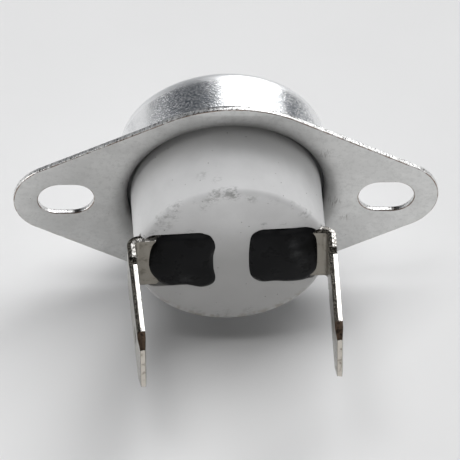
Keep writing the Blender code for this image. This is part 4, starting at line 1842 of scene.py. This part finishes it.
@dataclass
class Studio:
    """The pale floor, the soft lights and the camera.

    Attributes:
        lamps: The soft boxes.
        aim: Where the camera looks, in the frame's millimetres.
        distance: How far from there it stands.
        swing: Its bearing, in degrees from -Y towards -X.
        rise: Its height above the horizon in degrees.
        roll: Its roll in degrees.
        focal: Focal length in widths of the picture.
        sensor: Width of its sensor in millimetres.
        clip: The nearest and farthest that it sees, in metres.
        floor_radii: Radii of the floor's rings.
        floor_segments: Facets round the floor.
        floor_gap: Gap between the part and the floor.
        sky_above, sky_low, sky_in_front: The soft light from each side.
        horizon: Heights between which it goes from low to above.
        forward: Depths between which it goes from the front to the rest.
    """

    lamps: tuple[SoftBox, ...]
    aim: Point3 = (0.62, -7.8, -4.66)
    distance: float = 774.9
    swing: float = 7.30
    rise: float = 48.05
    roll: float = 4.92
    focal: float = 8000 / 460
    sensor: float = 36.0
    clip: Point2 = (0.05, 20.0)
    floor_radii: tuple[float, ...] = (4, 10, 25, 60, 150, 400, 1000, 3000)
    floor_segments: int = 96
    floor_gap: float = 0.02
    sky_above: Colour = (0.185, 0.19, 0.20)
    sky_low: Colour = (0.52, 0.52, 0.525)
    sky_in_front: Colour = (0.06, 0.06, 0.06)
    horizon: Fade = Fade(-0.04, 0.08)
    forward: Fade = Fade(-0.5, 0.3)

    def add_camera(self) -> None:
        """Stand the camera where the photograph was taken from."""
        rise, swing = radians(self.rise), radians(self.swing)
        back = Vector((-sin(swing) * cos(rise), -cos(swing) * cos(rise), sin(rise)))
        camera = bpy.data.objects.new("camera", bpy.data.cameras.new("camera"))
        camera.data.sensor_width = self.sensor
        camera.data.lens = self.focal * self.sensor
        camera.data.clip_start, camera.data.clip_end = self.clip
        camera.rotation_mode = "QUATERNION"
        camera.rotation_quaternion = facing(back, self.roll)
        camera.location = (Vector(self.aim) + back * self.distance) * MM
        bpy.context.scene.collection.objects.link(camera)
        bpy.context.scene.camera = camera

    def add_floor(self) -> bpy.types.Object:
        """Lay the floor under the part.

        Returns:
            The floor.
        """
        level = CAD_BOX[0][2] / MM - self.floor_gap
        draft = Draft()
        rings = [draft.loop(turned_ring(radius, level, self.floor_segments))
                 for radius in self.floor_radii]
        draft.bands(rings)
        draft.fan(rings[0], (0, 0, level))
        floor = draft.build("floor", [PaleFloor().make()])
        return floor

    def add_lamp(self, lamp: SoftBox, floor: bpy.types.Object) -> None:
        """Hang a soft box that faces the part, over the floor or over the part alone.

        Args:
            lamp: The soft box.
            floor: The floor.
        """
        light = bpy.data.lights.new(lamp.name, "AREA")
        light.shape = "RECTANGLE"
        light.size, light.size_y = lamp.size
        light.energy = lamp.power
        box = bpy.data.objects.new(lamp.name, light)
        back = Vector(lamp.toward).normalized()
        box.location = back * lamp.distance
        box.rotation_mode = "QUATERNION"
        box.rotation_quaternion = facing(back, lamp.spin)
        box.visible_camera = False
        bpy.context.scene.collection.objects.link(box)
        lit = bpy.data.collections.new("lit_by_" + lamp.name)
        lit.objects.link(floor)
        if lamp.over is Lit.PART:
            lit.collection_objects[0].light_linking.link_state = "EXCLUDE"
        box.light_linking.receiver_collection = lit

    def graded(self, tree: bpy.types.NodeTree, value: Socket, fade: Fade) -> bpy.types.Node:
        """Add a colour mix that runs from its first to its second colour as a value grows.

        Args:
            tree: The node tree.
            value: The value.
            fade: Where it starts and ends.

        Returns:
            The mix.
        """
        blend = tree.nodes.new("ShaderNodeMapRange")
        blend.interpolation_type = "SMOOTHSTEP"
        blend.inputs["From Min"].default_value = fade.start
        blend.inputs["From Max"].default_value = fade.end
        tree.links.new(value, blend.inputs["Value"])
        mix = tree.nodes.new("ShaderNodeMix")
        mix.data_type = "RGBA"
        tree.links.new(blend.outputs[0], mix.inputs["Factor"])
        return mix

    def add_sky(self) -> None:
        """Fill the studio with soft light, dimmer from above and from the front."""
        world = bpy.data.worlds.new("studio")
        world.use_nodes = True
        tree = world.node_tree
        place = tree.nodes.new("ShaderNodeTexCoord")
        parts = tree.nodes.new("ShaderNodeSeparateXYZ")
        tree.links.new(place.outputs["Generated"], parts.inputs[0])
        rising = self.graded(tree, parts.outputs["Z"], self.horizon)
        rising.inputs[MIX_FIRST].default_value = (*self.sky_low, 1.0)
        rising.inputs[MIX_SECOND].default_value = (*self.sky_above, 1.0)
        receding = self.graded(tree, parts.outputs["Y"], self.forward)
        receding.inputs[MIX_FIRST].default_value = (*self.sky_in_front, 1.0)
        tree.links.new(rising.outputs[MIX_RESULT], receding.inputs[MIX_SECOND])
        tree.links.new(receding.outputs[MIX_RESULT], tree.nodes["Background"].inputs["Color"])
        bpy.context.scene.world = world

    def build(self) -> None:
        """Set up the whole studio."""
        self.add_camera()
        floor = self.add_floor()
        self.add_sky()
        for lamp in self.lamps:
            self.add_lamp(lamp, floor)
        bpy.context.scene.view_settings.view_transform = "Standard"
        bpy.context.scene.view_settings.look = "None"


LEFT_RIM = ((8.16, 0.0), (7.85, 2.3), (7.2, 3.25), (5.86, 3.6), (3.94, 3.65), (2.3, 3.4),
            (1.72, 2.6), (1.53, 1.55), (1.73, 0.25), (1.72, -1.5), (1.56, -2.8), (1.85, -3.7),
            (2.9, -4.1), (4.5, -3.62), (5.95, -3.6), (6.95, -3.0), (7.85, -1.72))
RIGHT_RIM = ((1.67, -0.15), (1.76, 1.72), (2.0, 3.0), (2.75, 3.6), (3.7, 3.7), (4.66, 3.5),
             (5.62, 3.62), (6.57, 3.75), (7.4, 3.7), (8.05, 3.2), (8.4, 2.2), (8.49, -0.2),
             (8.36, -2.14), (7.8, -3.1), (7.0, -3.78), (5.6, -3.94), (4.16, -3.78), (2.9, -3.78),
             (2.05, -3.15), (1.74, -2.19))
LEANS = {Side.LEFT: radians(1.7), Side.RIGHT: radians(0.75)}
SEALS = {Side.LEFT: (LEFT_RIM, (4.8, 0.1)), Side.RIGHT: (RIGHT_RIM, (5.0, 0.1))}
TAB_FINISHES = {
    TabFace.STRIP: PlatedMetal("plated_strip", (0.315, 0.295, 0.258), (0.22, 0.202, 0.17),
                               roughness=0.36, torn=0.01, stained=0.25),
    TabFace.BLADE: PlatedMetal("plated_blade", (0.38, 0.36, 0.32), (0.31, 0.29, 0.25),
                               roughness=0.18, torn=0.012, stained=0.25),
    TabFace.BURNISHED: PlatedMetal("burnished_edge", (0.88, 0.86, 0.82), (0.45, 0.40, 0.34),
                                   roughness=0.16, torn=0.03, stained=0.10, worked=Fade(18.0, 17.3)),
    TabFace.TORN: PlatedMetal("torn_edge", (0.26, 0.24, 0.21), (0.012, 0.011, 0.009),
                              roughness=0.34, torn=0.12, stained=0.72, stretch=(5, 5, 5)),
    # Painted shade: the slanted edges by the tip are painted near black.
    TabFace.PAINTED_SHADE_CHAMFER: PlatedMetal("painted_shade_chamfer", (0.075, 0.052, 0.038), (0.022, 0.016, 0.012),
                                 roughness=0.45, torn=0.05, stained=0.5, stretch=(2, 2, 2)),
    TabFace.TIP: PlatedMetal("cropped_tip", (0.66, 0.62, 0.56), (0.38, 0.34, 0.29),
                             roughness=0.42, torn=0.03, stained=0.3),
}
SOFT_BOXES = (
    SoftBox("window", Lit.PART, (0.36, 0.66, 0.58), 0.75, (0.54, 0.55), 3.55),
    SoftBox("left_wall", Lit.PART, (-0.88, 0.12, 0.30), 0.80, (0.50, 0.50), 3.4),
    SoftBox("right_wall", Lit.PART, (0.92, -0.05, 0.36), 0.75, (0.50, 0.50), 1.6),
    SoftBox("fill", Lit.PART, (0.0, -0.9, 0.46), 0.035, (0.016, 0.016), 0.0011),
    SoftBox("ceiling", Lit.FLOOR, (0.12, 0.26, 1.0), 12.0, (18.0, 5.7), 1700.0, 65.0),
)


def main() -> None:
    """Build the thermostat's pieces in order, then the studio round them."""
    logging.basicConfig(level=logging.INFO, format="%(name)s: %(message)s")
    MountingCap().build(DrawnWall().make(), SatinSheet().make(), ShearedEdge().make())
    ceramic = CeramicBase()
    ceramic.build(WhiteCeramic(ceramic.end_face).make())
    tab_finishes = [TAB_FINISHES[face].make() for face in TabFace]
    for side in Side:
        TabTerminal(side, LEANS[side]).build(tab_finishes)
    resin = BlackResin().make()
    for side in Side:
        ResinSeal(side, *SEALS[side]).build(resin)
    InnerWorks().dress()
    Studio(SOFT_BOXES).build()


if __name__ == "__main__":
    main()
